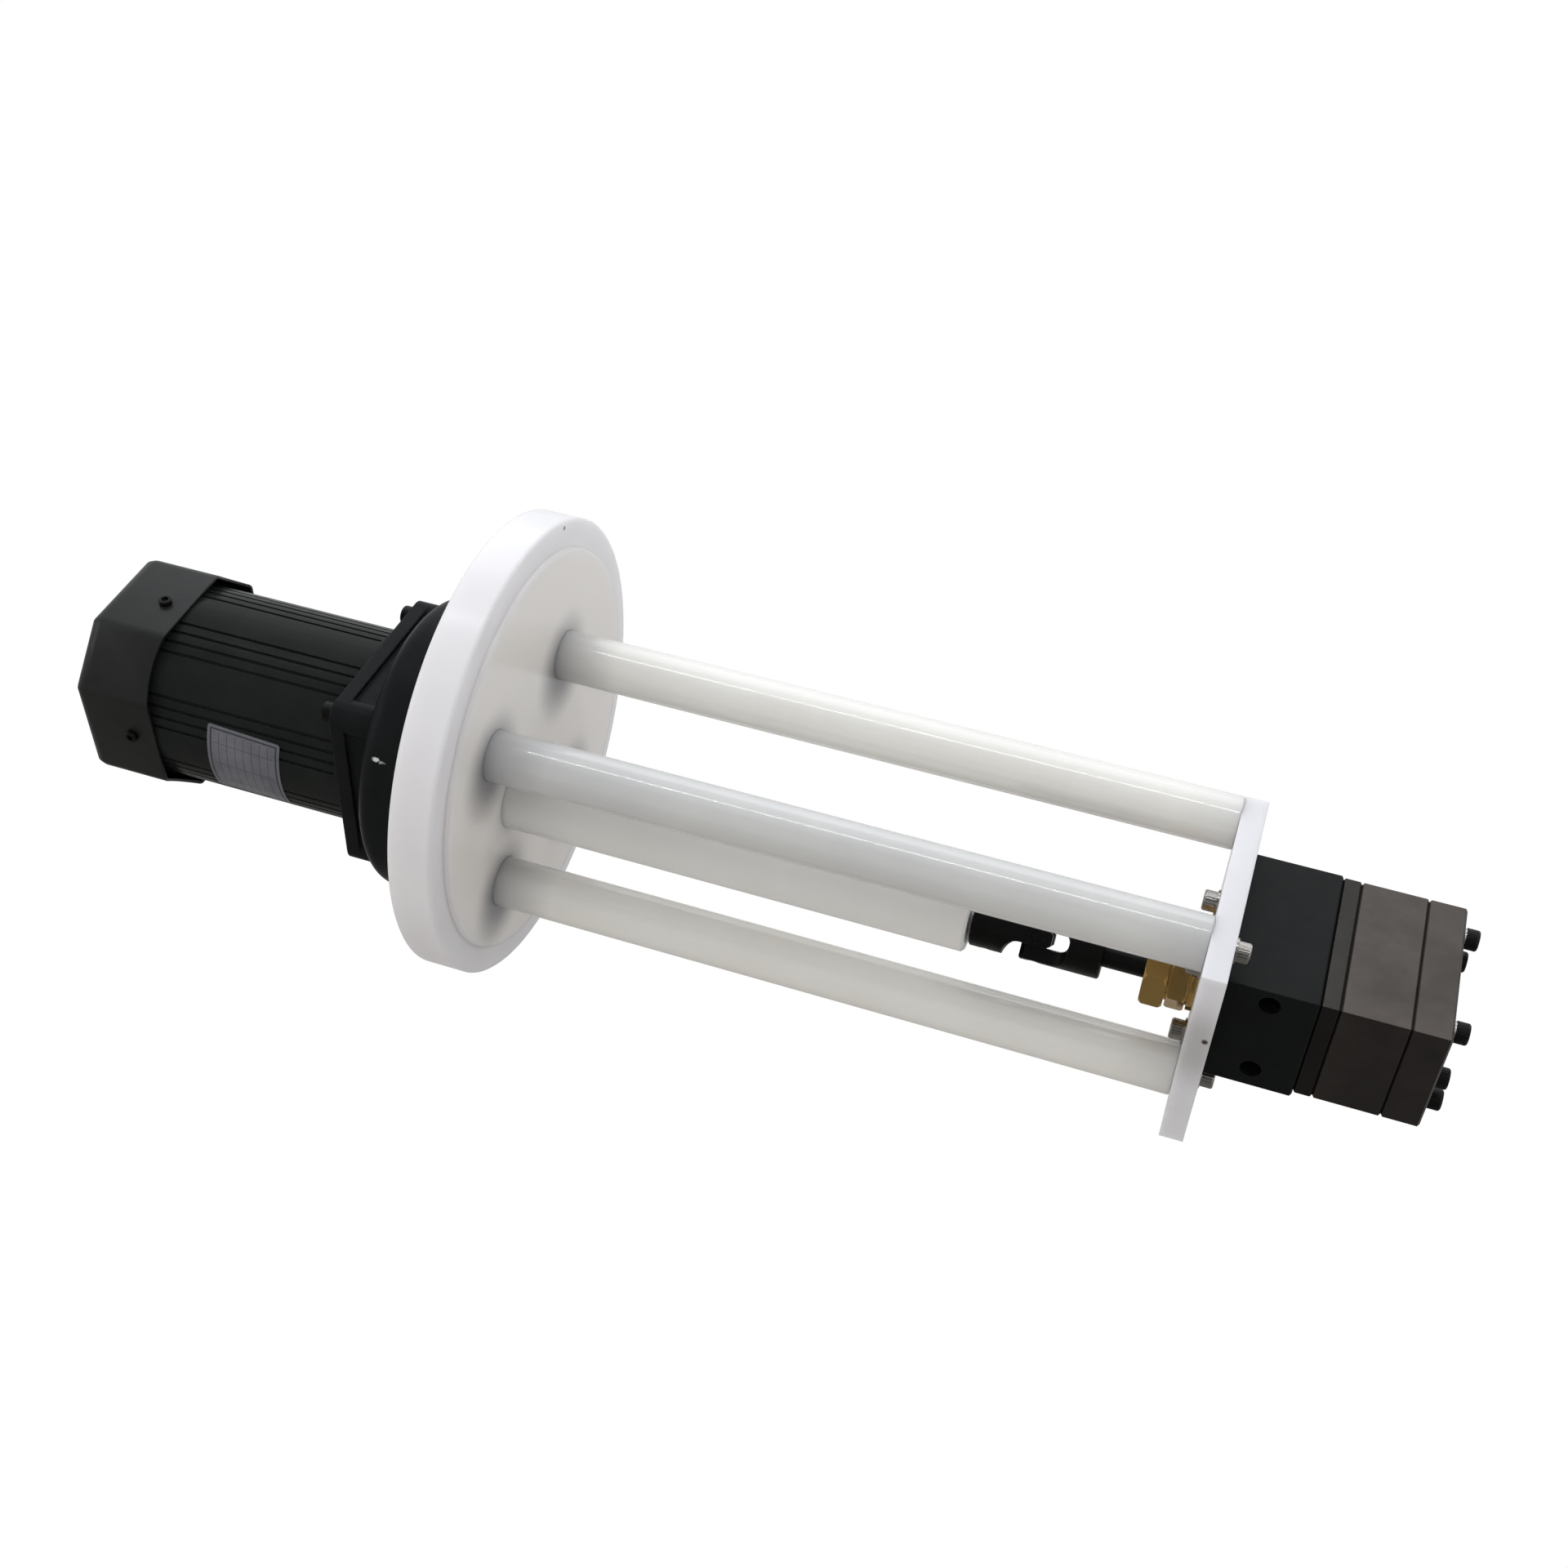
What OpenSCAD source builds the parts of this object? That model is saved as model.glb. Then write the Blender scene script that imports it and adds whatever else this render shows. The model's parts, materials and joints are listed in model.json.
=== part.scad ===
// Immersion gear pump: a fan-cooled gear motor on a round flange disc, four
// plastic rods, and a gear pump on an end plate, joined by one long drive line.
// +Z points up to the motor. The origin is the centre of the disc's seat face.

/* [Flange disc] */
// Diameter of the disc
disc_d = 236.5; // [225:0.5:260]
// Thickness of the disc
disc_t = 21.5; // [19:0.5:30]
// Diameter of the centring step under the disc
spigot_d = 208; // [206:0.5:216]
// Height of the centring step
spigot_h = 2.5; // [1:0.5:4]
// Motor axis from the disc centre, along X
motor_x = -7; // [-8:0.5:0]
// Motor axis from the disc centre, along Y
motor_y = -7; // [-8:0.5:0]

/* [Rods and plate] */
// Diameter of a support rod
rod_d = 26; // [22:0.5:28]
// From the stator housing's side out to a rod's axis
rod_gap = 8.8; // [8.4:0.1:12]
// How deep a rod sits in the disc
rod_socket = 10; // [6:0.5:13]
// From the disc's seat face down to the end plate
plate_drop = 346.5; // [320:0.5:400]
// From a rod's axis out to the end plate's edge, along X
plate_edge_x = 11.5; // [8:0.5:16]
// The same along Y, with the plate centred on the rods
plate_edge_y = 19.5; // [17:0.5:24]
// Thickness of the end plate
plate_t = 11.2; // [8:0.1:14]
// End plate centre from the motor axis, along Y
plate_off = -12.8; // [-14:0.1:-10]

/* [Motor] */
// Diameter of the stator housing
housing_d = 101.2; // [96:0.2:104]
// Wall of the stator housing, without its grooves
housing_wall = 5; // [4:0.5:6]
// Length of the stator housing
housing_l = 110; // [100:1:130]
// Turn of the motor about its axis, against the gear case
motor_turn = -3; // [-5:0.5:5]
// Width of one groove in the housing
groove_w = 1.7; // [1.2:0.1:2.4]
// Depth of a groove
groove_depth = 1.4; // [0.8:0.1:2]
// Diameter of the rotor shaft
rotor_shaft_d = 12; // [10:0.5:14]
// Diameter of the rotor
rotor_d = 54; // [46:0.5:56]
// Air gap between rotor and stator
air_gap = 0.4; // [0.3:0.05:0.8]
// Blades of the cooling fan
fan_blades = 9; // [6:1:12]

/* [Fan cover] */
// Leg of the cover's chamfered corners
cover_chamfer = 26.5; // [22:0.5:29]
// Length of the fan cover
cover_l = 43.5; // [43:0.5:60]
// Radius of the cover's end edges
cover_r = 9; // [4:0.5:10]
// Rise of the open edge's arches, under the chamfered corners
cover_arch = 2.4; // [1:0.2:4]
// Thickness of the cover's sheet
sheet_t = 1.5; // [1:0.1:1.6]

/* [Gear case] */
// Thickness of the square gear case
case_h = 21.7; // [21.5:0.1:30]
// Radius of the case's ears
ear_r = 9; // [8.5:0.5:12]
// Depth of the relief in the case's sides
side_relief = 2; // [1:0.5:3]
// Height of the lip on the motor side
case_lip = 7.5; // [4:0.5:9]
// Diameter of the round adapter
adapter_d = 152; // [142:1:156]
// Height of the adapter
adapter_h = 38; // [35:0.5:42]
// Radius of the adapter's shoulder
adapter_r = 9; // [3:0.5:12]
// Module of the reduction gears
red_module = 1; // [1:0.05:1.05]
// Teeth of both pinions
pinion_z = 18; // [18:1:19]
// Teeth of the first wheel
wheel1_z = 36; // [34:1:37]
// Teeth of the output wheel
wheel2_z = 40; // [38:1:41]

/* [Drive line] */
// Output shaft from the motor axis, towards -Y
shaft_off = 23; // [22:0.25:24]
// Diameter of the gear case's output shaft
output_d = 15; // [14:0.5:17]
// Diameter of the drive shaft
drive_d = 12; // [10:0.5:13]
// Outside diameter of the shaft coupling
coupling_d = 22; // [20:0.5:23]
// Length of the shaft coupling
coupling_l = 36; // [30:1:40]
// Outside diameter of the sleeve tube
sleeve_d = 33; // [30:0.5:34]
// Bore of the sleeve tube
sleeve_bore = 24.5; // [24:0.5:26]
// From the sleeve tube's end down to the end plate
sleeve_gap = 108.5; // [106:0.5:120]
// Diameter of the universal joint's yokes
yoke_d = 24.5; // [22:0.5:26]
// Length of the universal joint
ujoint_l = 62.5; // [58:0.5:66]
// Length of a yoke's round hub
yoke_hub = 16; // [14:0.5:18]
// Width of the slot between a yoke's ears
yoke_slot = 9.5; // [9:0.5:11]

/* [Gland] */
// Width of the gland nut across its flats
nut_af = 31.5; // [28:0.5:34]
// Height of the gland nut
nut_h = 11; // [9:0.5:12]
// Width of the gland body across its flats
gland_af = 29.5; // [26:0.5:31]
// Height of the gland above the end plate
gland_h = 24.5; // [22:0.5:26]
// Outside diameter of the gland's stem
gland_stem_d = 24; // [23.5:0.5:25]

/* [Pump] */
// Width of the pump plates
pump_x = 58.6; // [58:0.2:64]
// Length of the pump plates
pump_y = 85.5; // [84:0.5:92]
// How far the drive block stands proud of the plates
block_proud = 1; // [0.5:0.1:1.5]
// How much further it stands out at -X
block_back = 2.2; // [0:0.2:4]
// Pump centre from the motor axis, along Y
pump_off = -5.5; // [-6:0.25:-5]
// Thickness of the drive block
block_t = 41.6; // [41:0.2:48]
// Thickness of the wear plate
wear_t = 8.7; // [7:0.1:12]
// Thickness of the gear plate
gears_t = 30.9; // [24:0.1:36]
// Thickness of the cover plate
cover_t = 17.4; // [16:0.1:22]
// Chamfer of the plates' seam edges
seam = 0.9; // [0.4:0.1:1.2]
// Module of the pump gears
pump_module = 2.5; // [2.4:0.05:2.5]
// Teeth of a pump gear
pump_z = 13; // [12:1:13]
// Diameter of the pump shafts
pump_shaft_d = 14; // [12:0.5:15]
// Diameter of a port
port_d = 10; // [8:0.5:10]
// Distance between the ports
port_pitch = 42.8; // [42:0.2:44]

/* [Fasteners] */
// Diameter of the pump's long cover screws
big_screw_d = 6; // [5:0.5:8]
// Diameter of the long case screws
case_screw_d = 6; // [5:0.5:8]
// Diameter of the fan cover's screws
fan_screw_d = 4; // [3:0.5:5]
// Diameter of the stainless plate screws
small_screw_d = 6; // [5:0.5:6]
// Spacing of the cover screws along X
bolt_x = 44.8; // [42:0.2:46]
// Spacing of the cover screws along Y
bolt_y = 60.4; // [59:0.2:66]
// Spacing of the plate screws along X
plate_bolt_x = 44; // [42:0.5:45]
// Spacing of the plate screws along Y
plate_bolt_y = 43; // [41:0.5:44]

/* [Hidden] */
$fn = 48;
eps = 0.01;
fit = 0.05;          // radial clearance of a running fit
play = 0.5;          // clearance of a bolt in a plain hole
backlash = 0.12;     // circumferential play of a gear pair
red_angle = 20;      // pressure angle of the reduction gears
pump_angle = 25;     // pressure angle of the pump gears

// levels along Z
disc_top = disc_t;
case_z = disc_top + adapter_h;
housing_z = case_z + case_h;
housing_top = housing_z + housing_l;
shield_h = 12;
cover_z = housing_top - 7;
cover_top = cover_z + cover_l;
cover_screw_z = housing_top + shield_h / 2;
plate_top = -plate_drop;
plate_bottom = plate_top - plate_t;
block_z = plate_bottom - block_t;
wear_z = block_z - wear_t;
gears_z = wear_z - gears_t;
cover_plate_z = gears_z - cover_t;
sleeve_end = plate_top + sleeve_gap;

// gear case: the intermediate shaft stands at both centre distances
function pitch_r(z, m) = z * m / 2;
red_c1 = pitch_r(pinion_z + wheel1_z, red_module);
red_c2 = pitch_r(pinion_z + wheel2_z, red_module);
inter_y = (red_c2 * red_c2 - red_c1 * red_c1 - shaft_off * shaft_off) / (2 * shaft_off);
inter_x = -sqrt(red_c1 * red_c1 - inter_y * inter_y);
dir_1 = atan2(inter_y, inter_x);
dir_2 = atan2(-shaft_off - inter_y, -inter_x);
case_wall = 8;
wall_z = housing_z - case_wall;
pinion_w = 9;
wheel1_w = 7;
wheel2_w = 12;
pinion1_z = wall_z - 1.5 - pinion_w;
wheel1_z0 = pinion1_z + (pinion_w - wheel1_w) / 2;
wheel2_z0 = wheel1_z0 - 2 - wheel2_w;
chamber_z = wheel2_z0 - 2.5;
gear_clear = 1.2;

// bearings: outside radius, bore radius, width
bearing_r = 17.5;
bearing_w = 11;
small_bearing_r = 11;
small_bearing_w = 6;
small_journal_d = 8;
boss_wall = 4;
front_bearing_z = housing_z + 2;
rear_bearing_z = housing_top - 2;

// motor: the stack stands between the room for the gear end and that for the fan end
front_room = 32;
rear_room = 22;
stack_l = housing_l - front_room - rear_room;
stack_z = housing_z + front_room;
label_l = 39;
label_z = housing_z + 39.5;
cover_w = housing_d + 2 * sheet_t + 0.2;

// four rods on a square, their axes in line with the gear case's ears
rod_pitch = sqrt(2) * (housing_d / 2 + rod_gap);
case_w = rod_pitch + 2 * ear_r;
plate_x = rod_pitch + 2 * plate_edge_x;
plate_y = rod_pitch + 2 * plate_edge_y;
stator_r = housing_d / 2 - housing_wall;
stator_bore = rotor_d / 2 + air_gap;
end_turn_h = 15;
fan_z = housing_top + shield_h + 3;
fan_h = 14;
fan_hub_r = 12;
groove_step = 6.4;
fan_screw_head = 2.6;
fan_screw_shift = 3.2;

// pump
pump_c = pump_module * pump_z;
pump_gear_mid = -shaft_off + pump_c / 2;
tip_r = pump_module * (pump_z / 2 + 1);
bush_r = pump_shaft_d / 2 + 3;
bush_l = 12;
bolt_grip = 12.5;
plate_bolt_depth = 12;
bolt_shift = pump_off + 0.3;
plate_bolt_shift = -14.8;
jack_at = [5.5, 32.5];
jack_l = 10;
dowel_r = 2.5;
dowel_x = 24.6;
key_w = 5;
key_l = 20;
port_r = port_d / 2;
port_z = plate_bottom - block_t / 2;
port_in = 15;
channel_r = 4;
block_face_y = pump_off - pump_y / 2 - block_proud / 2;

// gland
gland_top = plate_top + gland_h;
stem_depth = 9;
packing_r = 9.6;
nut_skirt = 5;

// coupling and sleeve, under the disc's top
coupling_mid = -2;
sleeve_socket = 12;
set_screw_r = 2.5;

// universal joint
joint_top = sleeve_end - 1.5;
joint_mid = joint_top - ujoint_l / 2;
joint_end = joint_top - ujoint_l;
ear_reach = ujoint_l / 2 - yoke_hub;
ear_tip = 7;
ear_w = yoke_slot - 0.8;
cross_r = 3.2;
joint_turn = -47;

// screws
function head_r(d) = d * (d > 7 ? 0.8125 : 0.8333);
washer_t = 1.2;

module at_motor(z = 0) { translate([motor_x, motor_y, z]) children(); }
module at_turned(z = 0) { at_motor(z) rotate([0, 0, motor_turn]) children(); }
module at_shaft(z = 0) { translate([motor_x, motor_y - shaft_off, z]) children(); }
module at_driven(z = 0) { translate([motor_x, motor_y - shaft_off + pump_c, z]) children(); }
module at_inter(z = 0) { translate([motor_x + inter_x, motor_y + inter_y, z]) children(); }
module at_rods(z = 0) {
    for (x = [-1, 1], y = [-1, 1]) at_motor(z) translate([x, y] * rod_pitch / 2) children();
}
module at_bolts(dx, dy, shift, z) {
    for (x = [-1, 1], y = [-1, 1]) at_motor(z) translate([x * dx / 2, shift + y * dy / 2]) children();
}

module at_jacks(z) {
    for (s = [-1, 1]) at_motor(z) translate([s * jack_at[0], bolt_shift + s * jack_at[1]]) children();
}

// a round bar from z to z + h, with bevelled ends
module bar(r, h, bevel = 0.5) {
    rotate_extrude() polygon([[0, 0], [r - bevel, 0], [r, bevel], [r, h - bevel],
        [r - bevel, h], [0, h]]);
}
module ring(r_out, r_in, h) {
    difference() {
        cylinder(r = r_out, h = h);
        translate([0, 0, -eps]) cylinder(r = r_in, h = h + 2 * eps);
    }
}
// socket cap screw: head above z = 0, shank below it
module cap_screw(d, l, head = 0) {
    h = head > 0 ? head : d;
    difference() {
        union() {
            bar(head_r(d), h, 0.6);
            translate([0, 0, -l]) cylinder(r = d / 2, h = l + eps);
        }
        translate([0, 0, h * 0.45]) cylinder(r = d * 0.48, h = d, $fn = 6);
    }
}
module washer(d) { ring(d * 1.04, d / 2 + 0.2, washer_t); }

// involute of a base circle, in degrees
function inv(a) = tan(a) * 180 / PI - a;
function flank_a(rb, r) = acos(min(1, rb / r));
// one tooth about angle 0: root, flank, tip and back
function tooth(z, m, pa, play_w) = let(
    rp = m * z / 2, rb = rp * cos(pa), ra = rp + m, rf = rp - 1.25 * m,
    half = 90 / z - play_w / 2 / rp * 90 / PI + inv(pa), steps = 4,
    rs = [for (i = [0 : steps]) rb + (ra - rb) * i / steps],
    up = [for (r = rs) let(a = half - inv(flank_a(rb, r))) [r, a]])
    concat([[rf, half]], up);
function polar(p, turn) = [p[0] * cos(p[1] + turn), p[0] * sin(p[1] + turn)];
module gear_2d(z, m, pa) {
    t = tooth(z, m, pa, backlash);
    n = len(t);
    polygon([for (k = [0 : z - 1]) let(turn = k * 360 / z) each concat(
        [for (i = [0 : n - 1]) polar([t[i][0], -t[i][1]], turn)],
        [for (i = [n - 1 : -1 : 0]) polar(t[i], turn)])]);
}
module gear(z, m, pa, w, turn) {
    rotate([0, 0, turn]) linear_extrude(w) gear_2d(z, m, pa);
}

// octagonal cup: each pair of faces is one extruded profile with round shoulders,
// and a turned profile softens the corners where they meet
module octagon_cup(inset, h) {
    diagonal = (cover_w - cover_chamfer) * sqrt(2);
    h_diagonal = h + 2 * eps;
    corner = norm([cover_w / 2, cover_w / 2 - cover_chamfer]) - inset - 0.6;
    soft = 1.9 * cover_r - inset;
    intersection() {
        face_pair(0, cover_w, inset, h);
        face_pair(90, cover_w, inset, h);
        face_pair(45, diagonal, inset, h_diagonal);
        face_pair(135, diagonal, inset, h_diagonal);
        rotate_extrude($fn = 96) {
            square([corner, h - soft]);
            square([corner - soft, h + eps]);
            translate([corner - soft, h - soft + eps]) circle(soft);
        }
    }
}
module face_pair(turn, across, inset, h) {
    w = across / 2 - inset;
    r = cover_r - inset;
    rotate([0, 0, turn]) rotate([90, 0, 0]) translate([0, 0, -cover_w])
        linear_extrude(2 * cover_w) {
            translate([-w, 0]) square([2 * w, h - r]);
            translate([-w + r, 0]) square([2 * (w - r), h]);
            for (s = [-1, 1]) translate([s * (w - r), h - r]) circle(r);
        }
}
module vent_slot(from, to, w) {
    linear_extrude(4 * sheet_t, center = true) {
        translate([from, -w / 2]) square([to - from, w]);
        for (x = [from, to]) translate([x, 0]) circle(w / 2, $fn = 16);
    }
}

// one screw in each main face, a little towards one of two opposite corners
module at_fan_screws(reach) {
    for (side = [-1, 1], back = [0, 180]) at_turned(cover_screw_z)
        rotate([0, 0, back - 45 + side * 45]) translate([reach, -side * fan_screw_shift, 0])
            rotate([0, 90, 0]) children();
}
module fan_cover() color([0.10, 0.10, 0.11]) {
    slots = 16;
    slot_w = 3.2;
    vent_r = cover_w / 2 - 14;
    arch_r = (pow(cover_chamfer, 2) / 2 + pow(cover_arch, 2)) / (2 * cover_arch);
    difference() {
        at_turned(cover_z) octagon_cup(0, cover_l);
        at_turned(cover_z - eps) octagon_cup(sheet_t, cover_l - sheet_t + eps);
        at_turned(cover_top) for (i = [0 : slots - 1]) rotate([0, 0, (i + 0.5) * 360 / slots]) {
            vent_slot(vent_r - 14, vent_r, slot_w);
            if (i % 2 == 0) vent_slot(fan_hub_r - 2, fan_hub_r + 5, slot_w);
        }
        for (k = [0 : 3]) at_turned(cover_z + cover_arch - arch_r) rotate([0, 90, 45 + 90 * k])
            cylinder(r = arch_r, h = cover_w, $fn = 96);
        at_fan_screws(0) cylinder(r = fan_screw_d / 2 + play / 2, h = cover_w);
    }
}

module fan_cover_screws() color([0.07, 0.07, 0.08])
    at_fan_screws(cover_w / 2) cap_screw(fan_screw_d, 9, fan_screw_head);

module cooling_fan() color([0.16, 0.16, 0.18]) at_motor(fan_z) {
    blade_r = stator_r - 6;
    ring(fan_hub_r, rotor_shaft_d / 2, fan_h);
    difference() {
        cylinder(r = blade_r, h = 2);
        translate([0, 0, -eps]) cylinder(r = fan_hub_r - eps, h = 3);
    }
    for (i = [0 : fan_blades - 1]) rotate([0, 0, i * 360 / fan_blades])
        translate([fan_hub_r - 1, -1, 0]) cube([blade_r - fan_hub_r, 2, fan_h]);
}

module rear_end_shield() color([0.12, 0.12, 0.13]) {
    difference() {
        union() {
            at_motor(housing_top) cylinder(r = housing_d / 2 - 0.3, h = shield_h);
            at_motor(housing_top - 8) cylinder(r = stator_r, h = 8 + eps);
        }
        at_motor(housing_top - 9) cylinder(r = stator_r - 4, h = 7);
        at_motor(housing_top - 2 - eps) cylinder(r = bearing_r, h = bearing_w + eps);
        at_motor(housing_top) cylinder(r = rotor_shaft_d / 2 + play, h = shield_h + eps);
        at_fan_screws(cover_w / 2 - 9) cylinder(r = fan_screw_d / 2, h = cover_w);
        for (k = [0 : 5]) at_turned(housing_top - eps) rotate([0, 0, 60 * k + 30])
            translate([(bearing_r + stator_r) / 2, 0, 0]) cylinder(r = 6, h = shield_h + 1);
    }
}

module rear_bearing() color([0.7, 0.71, 0.73])
    at_motor(rear_bearing_z) ring(bearing_r, rotor_shaft_d / 2, bearing_w);

module front_bearing() color([0.7, 0.71, 0.73])
    at_motor(front_bearing_z) ring(bearing_r, rotor_shaft_d / 2, bearing_w);

// smooth tube with eight groups of four long grooves
module stator_housing() color([0.09, 0.09, 0.10]) {
    difference() {
        at_motor(housing_z) cylinder(r = housing_d / 2, h = housing_l, $fn = 96);
        at_motor(housing_z - eps) cylinder(r = stator_r, h = housing_l + 2 * eps);
        for (k = [0 : 7], j = [-1.5 : 1.5]) at_turned(housing_z + 2)
            rotate([0, 0, 22.5 + 45 * k + j * groove_step])
                translate([housing_d / 2 - groove_depth, -groove_w / 2, 0])
                    cube([2 * groove_depth, groove_w, housing_l]);
    }
}

// thin bare plate bent round the housing's lower side
module nameplate() color([0.72, 0.72, 0.77]) {
    from = -122;
    to = -72;
    at_motor(label_z) rotate([0, 0, from])
        rotate_extrude(angle = to - from) translate([housing_d / 2, 0]) square([0.5, label_l]);
}

module stator_core() color([0.45, 0.46, 0.48]) at_motor(stack_z) difference() {
    cylinder(r = stator_r, h = stack_l);
    translate([0, 0, -eps]) cylinder(r = stator_bore, h = stack_l + 1);
    for (k = [0 : 23]) rotate([0, 0, 15 * k]) translate([stator_bore - 1, -1.6, -eps])
        cube([12, 3.2, stack_l + 1]);
}

module windings() color([0.62, 0.33, 0.14]) {
    inner = stator_bore + 2;
    for (z = [stack_z - end_turn_h, stack_z + stack_l]) at_motor(z)
        ring(stator_r - 6, inner, end_turn_h);
    for (k = [0 : 23]) at_motor(stack_z) rotate([0, 0, 15 * k]) translate([inner, -1.5, -eps])
        cube([8, 3, stack_l + 2 * eps]);
}

module rotor_core() color([0.55, 0.55, 0.58]) at_motor(stack_z - 2) {
    ring(rotor_d / 2, rotor_shaft_d / 2, stack_l + 4);
}

module rotor_shaft() color([0.62, 0.63, 0.65])
    at_motor(pinion1_z) bar(rotor_shaft_d / 2, fan_z + fan_h + 3 - pinion1_z, 0.8);

module rotor_pinion() color([0.5, 0.5, 0.53]) at_motor(pinion1_z) difference() {
    gear(pinion_z, red_module, red_angle, pinion_w, dir_1);
    translate([0, 0, -eps]) cylinder(r = rotor_shaft_d / 2, h = pinion_w + 1);
}

// room for the reduction gears
module gear_room(z, h) {
    at_motor(z) cylinder(r = pitch_r(pinion_z, red_module) + 6, h = h);
    at_inter(z) cylinder(r = pitch_r(wheel1_z, red_module) + red_module + gear_clear, h = h);
    at_shaft(z) cylinder(r = pitch_r(wheel2_z, red_module) + red_module + gear_clear, h = h);
}
module case_outline(w) {
    e = rod_pitch / 2;
    square([w, 2 * e], center = true);
    square([2 * e, w], center = true);
    for (x = [-1, 1], y = [-1, 1]) translate([x, y] * e) circle(ear_r);
}
module gear_case() color([0.09, 0.09, 0.10]) {
    difference() {
        union() {
            at_motor(case_z) linear_extrude(case_h) case_outline(case_w - 2 * side_relief);
            at_motor(housing_z - case_lip) linear_extrude(case_lip) case_outline(case_w);
            at_motor(housing_z - eps) cylinder(r = stator_r, h = 7);
            at_motor(housing_z) cylinder(r = bearing_r + boss_wall, h = bearing_w + 3);
        }
        at_motor(front_bearing_z) cylinder(r = bearing_r, h = bearing_w + 2);
        at_motor(wall_z - 1) cylinder(r = rotor_shaft_d / 2 + 1.5, h = case_wall + 4);
        difference() {
            at_motor(housing_z + eps) cylinder(r = stator_r - 4, h = 8);
            at_motor(housing_z) cylinder(r = bearing_r + boss_wall, h = 9);
        }
        gear_room(case_z - eps, wall_z - case_z + eps);
        at_shaft(wall_z - eps) cylinder(r = small_bearing_r, h = small_bearing_w + eps);
        at_inter(wall_z - eps) cylinder(r = 8, h = 5);
        at_rods(case_z - eps) cylinder(r = case_screw_d / 2 + 0.3, h = case_h + 1);
    }
}

// three long screws and one stud, sunk in its ear, clamp case, adapter and disc,
// and bite in the rods
module case_screws() color([0.07, 0.07, 0.08]) {
    bite = housing_z - (rod_socket - spigot_h) + 18;
    at_headed_ears(housing_z + washer_t) cap_screw(case_screw_d, bite + washer_t);
    at_motor(housing_z - bite) translate([-1, -1] * rod_pitch / 2)
        cylinder(r = case_screw_d / 2, h = bite - 1);
}
module case_washers() color([0.1, 0.1, 0.11])
    at_headed_ears(housing_z) ring(head_r(case_screw_d) + 0.6, case_screw_d / 2 + 0.1, washer_t);
module at_headed_ears(z) {
    for (ear = [[1, -1], [1, 1], [-1, 1]]) at_motor(z) translate(ear * rod_pitch / 2) children();
}

module intermediate_shaft() color([0.6, 0.61, 0.63])
    at_inter(chamber_z - 5) bar(5, wall_z + 4.5 - chamber_z + 5, 0.5);

module intermediate_gear() color([0.5, 0.5, 0.53]) difference() {
    union() {
        at_inter(wheel1_z0)
            gear(wheel1_z, red_module, red_angle, wheel1_w, dir_1 + 180 + 180 / wheel1_z);
        at_inter(wheel2_z0 - 1)
            gear(pinion_z, red_module, red_angle, wheel1_z0 - wheel2_z0 + 1 + eps, dir_2);
    }
    at_inter(chamber_z) cylinder(r = 5, h = wall_z - chamber_z);
}

module intermediate_bushes() color([0.68, 0.5, 0.22]) {
    at_inter(wall_z) ring(8, 5 + fit, 5 - eps);
    at_inter(chamber_z - 5) ring(8, 5 + fit, 5);
}

module output_wheel() color([0.5, 0.5, 0.53]) at_shaft(wheel2_z0) difference() {
    gear(wheel2_z, red_module, red_angle, wheel2_w, dir_2 + 180 + 180 / wheel2_z);
    translate([0, 0, -eps]) cylinder(r = output_d / 2, h = wheel2_w + 1);
}

module output_shaft() color([0.6, 0.61, 0.63]) {
    at_shaft(coupling_mid) bar(output_d / 2, wall_z - 1 - coupling_mid, 0.6);
    at_shaft(wall_z - 2) cylinder(r = small_journal_d / 2, h = small_bearing_w + 1.5);
}

module upper_output_bearing() color([0.7, 0.71, 0.73])
    at_shaft(wall_z) ring(small_bearing_r, small_journal_d / 2 + fit, small_bearing_w);

module lower_output_bearing() color([0.7, 0.71, 0.73])
    at_shaft(disc_top + 3) ring(bearing_r, output_d / 2 + fit, bearing_w);

module adapter_flange() color([0.09, 0.09, 0.10]) difference() {
    r = adapter_d / 2;
    at_motor(disc_top) rotate_extrude($fn = 96) {
        square([r, adapter_h - adapter_r]);
        square([r - adapter_r, adapter_h]);
        translate([r - adapter_r, adapter_h - adapter_r]) circle(adapter_r);
    }
    gear_room(chamber_z, case_z - chamber_z + eps);
    at_shaft(disc_top - eps) cylinder(r = bearing_r, h = 3 + bearing_w + eps);
    at_shaft(disc_top) cylinder(r = output_d / 2 + 1, h = adapter_h);
    at_inter(chamber_z - 5) cylinder(r = 8, h = 6);
    at_rods(disc_top - eps) cylinder(r = case_screw_d / 2 + 0.3, h = adapter_h + 1);
}

module mounting_disc() color([0.90, 0.89, 0.88]) difference() {
    rotate_extrude($fn = 128) {
        translate([0, -spigot_h]) square([spigot_d / 2, spigot_h + eps]);
        polygon([[0, 0], [disc_d / 2 - 0.8, 0], [disc_d / 2, 0.8], [disc_d / 2, disc_t - 0.8],
            [disc_d / 2 - 0.8, disc_t], [0, disc_t]]);
    }
    at_rods(-spigot_h - eps) cylinder(r = rod_d / 2, h = rod_socket + eps);
    at_rods() cylinder(r = case_screw_d / 2 + 0.3, h = disc_t + 1);
    at_shaft(-spigot_h - eps) cylinder(r = sleeve_d / 2, h = sleeve_socket + eps);
    at_shaft() cylinder(r = sleeve_bore / 2, h = disc_t + 1);
}

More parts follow.
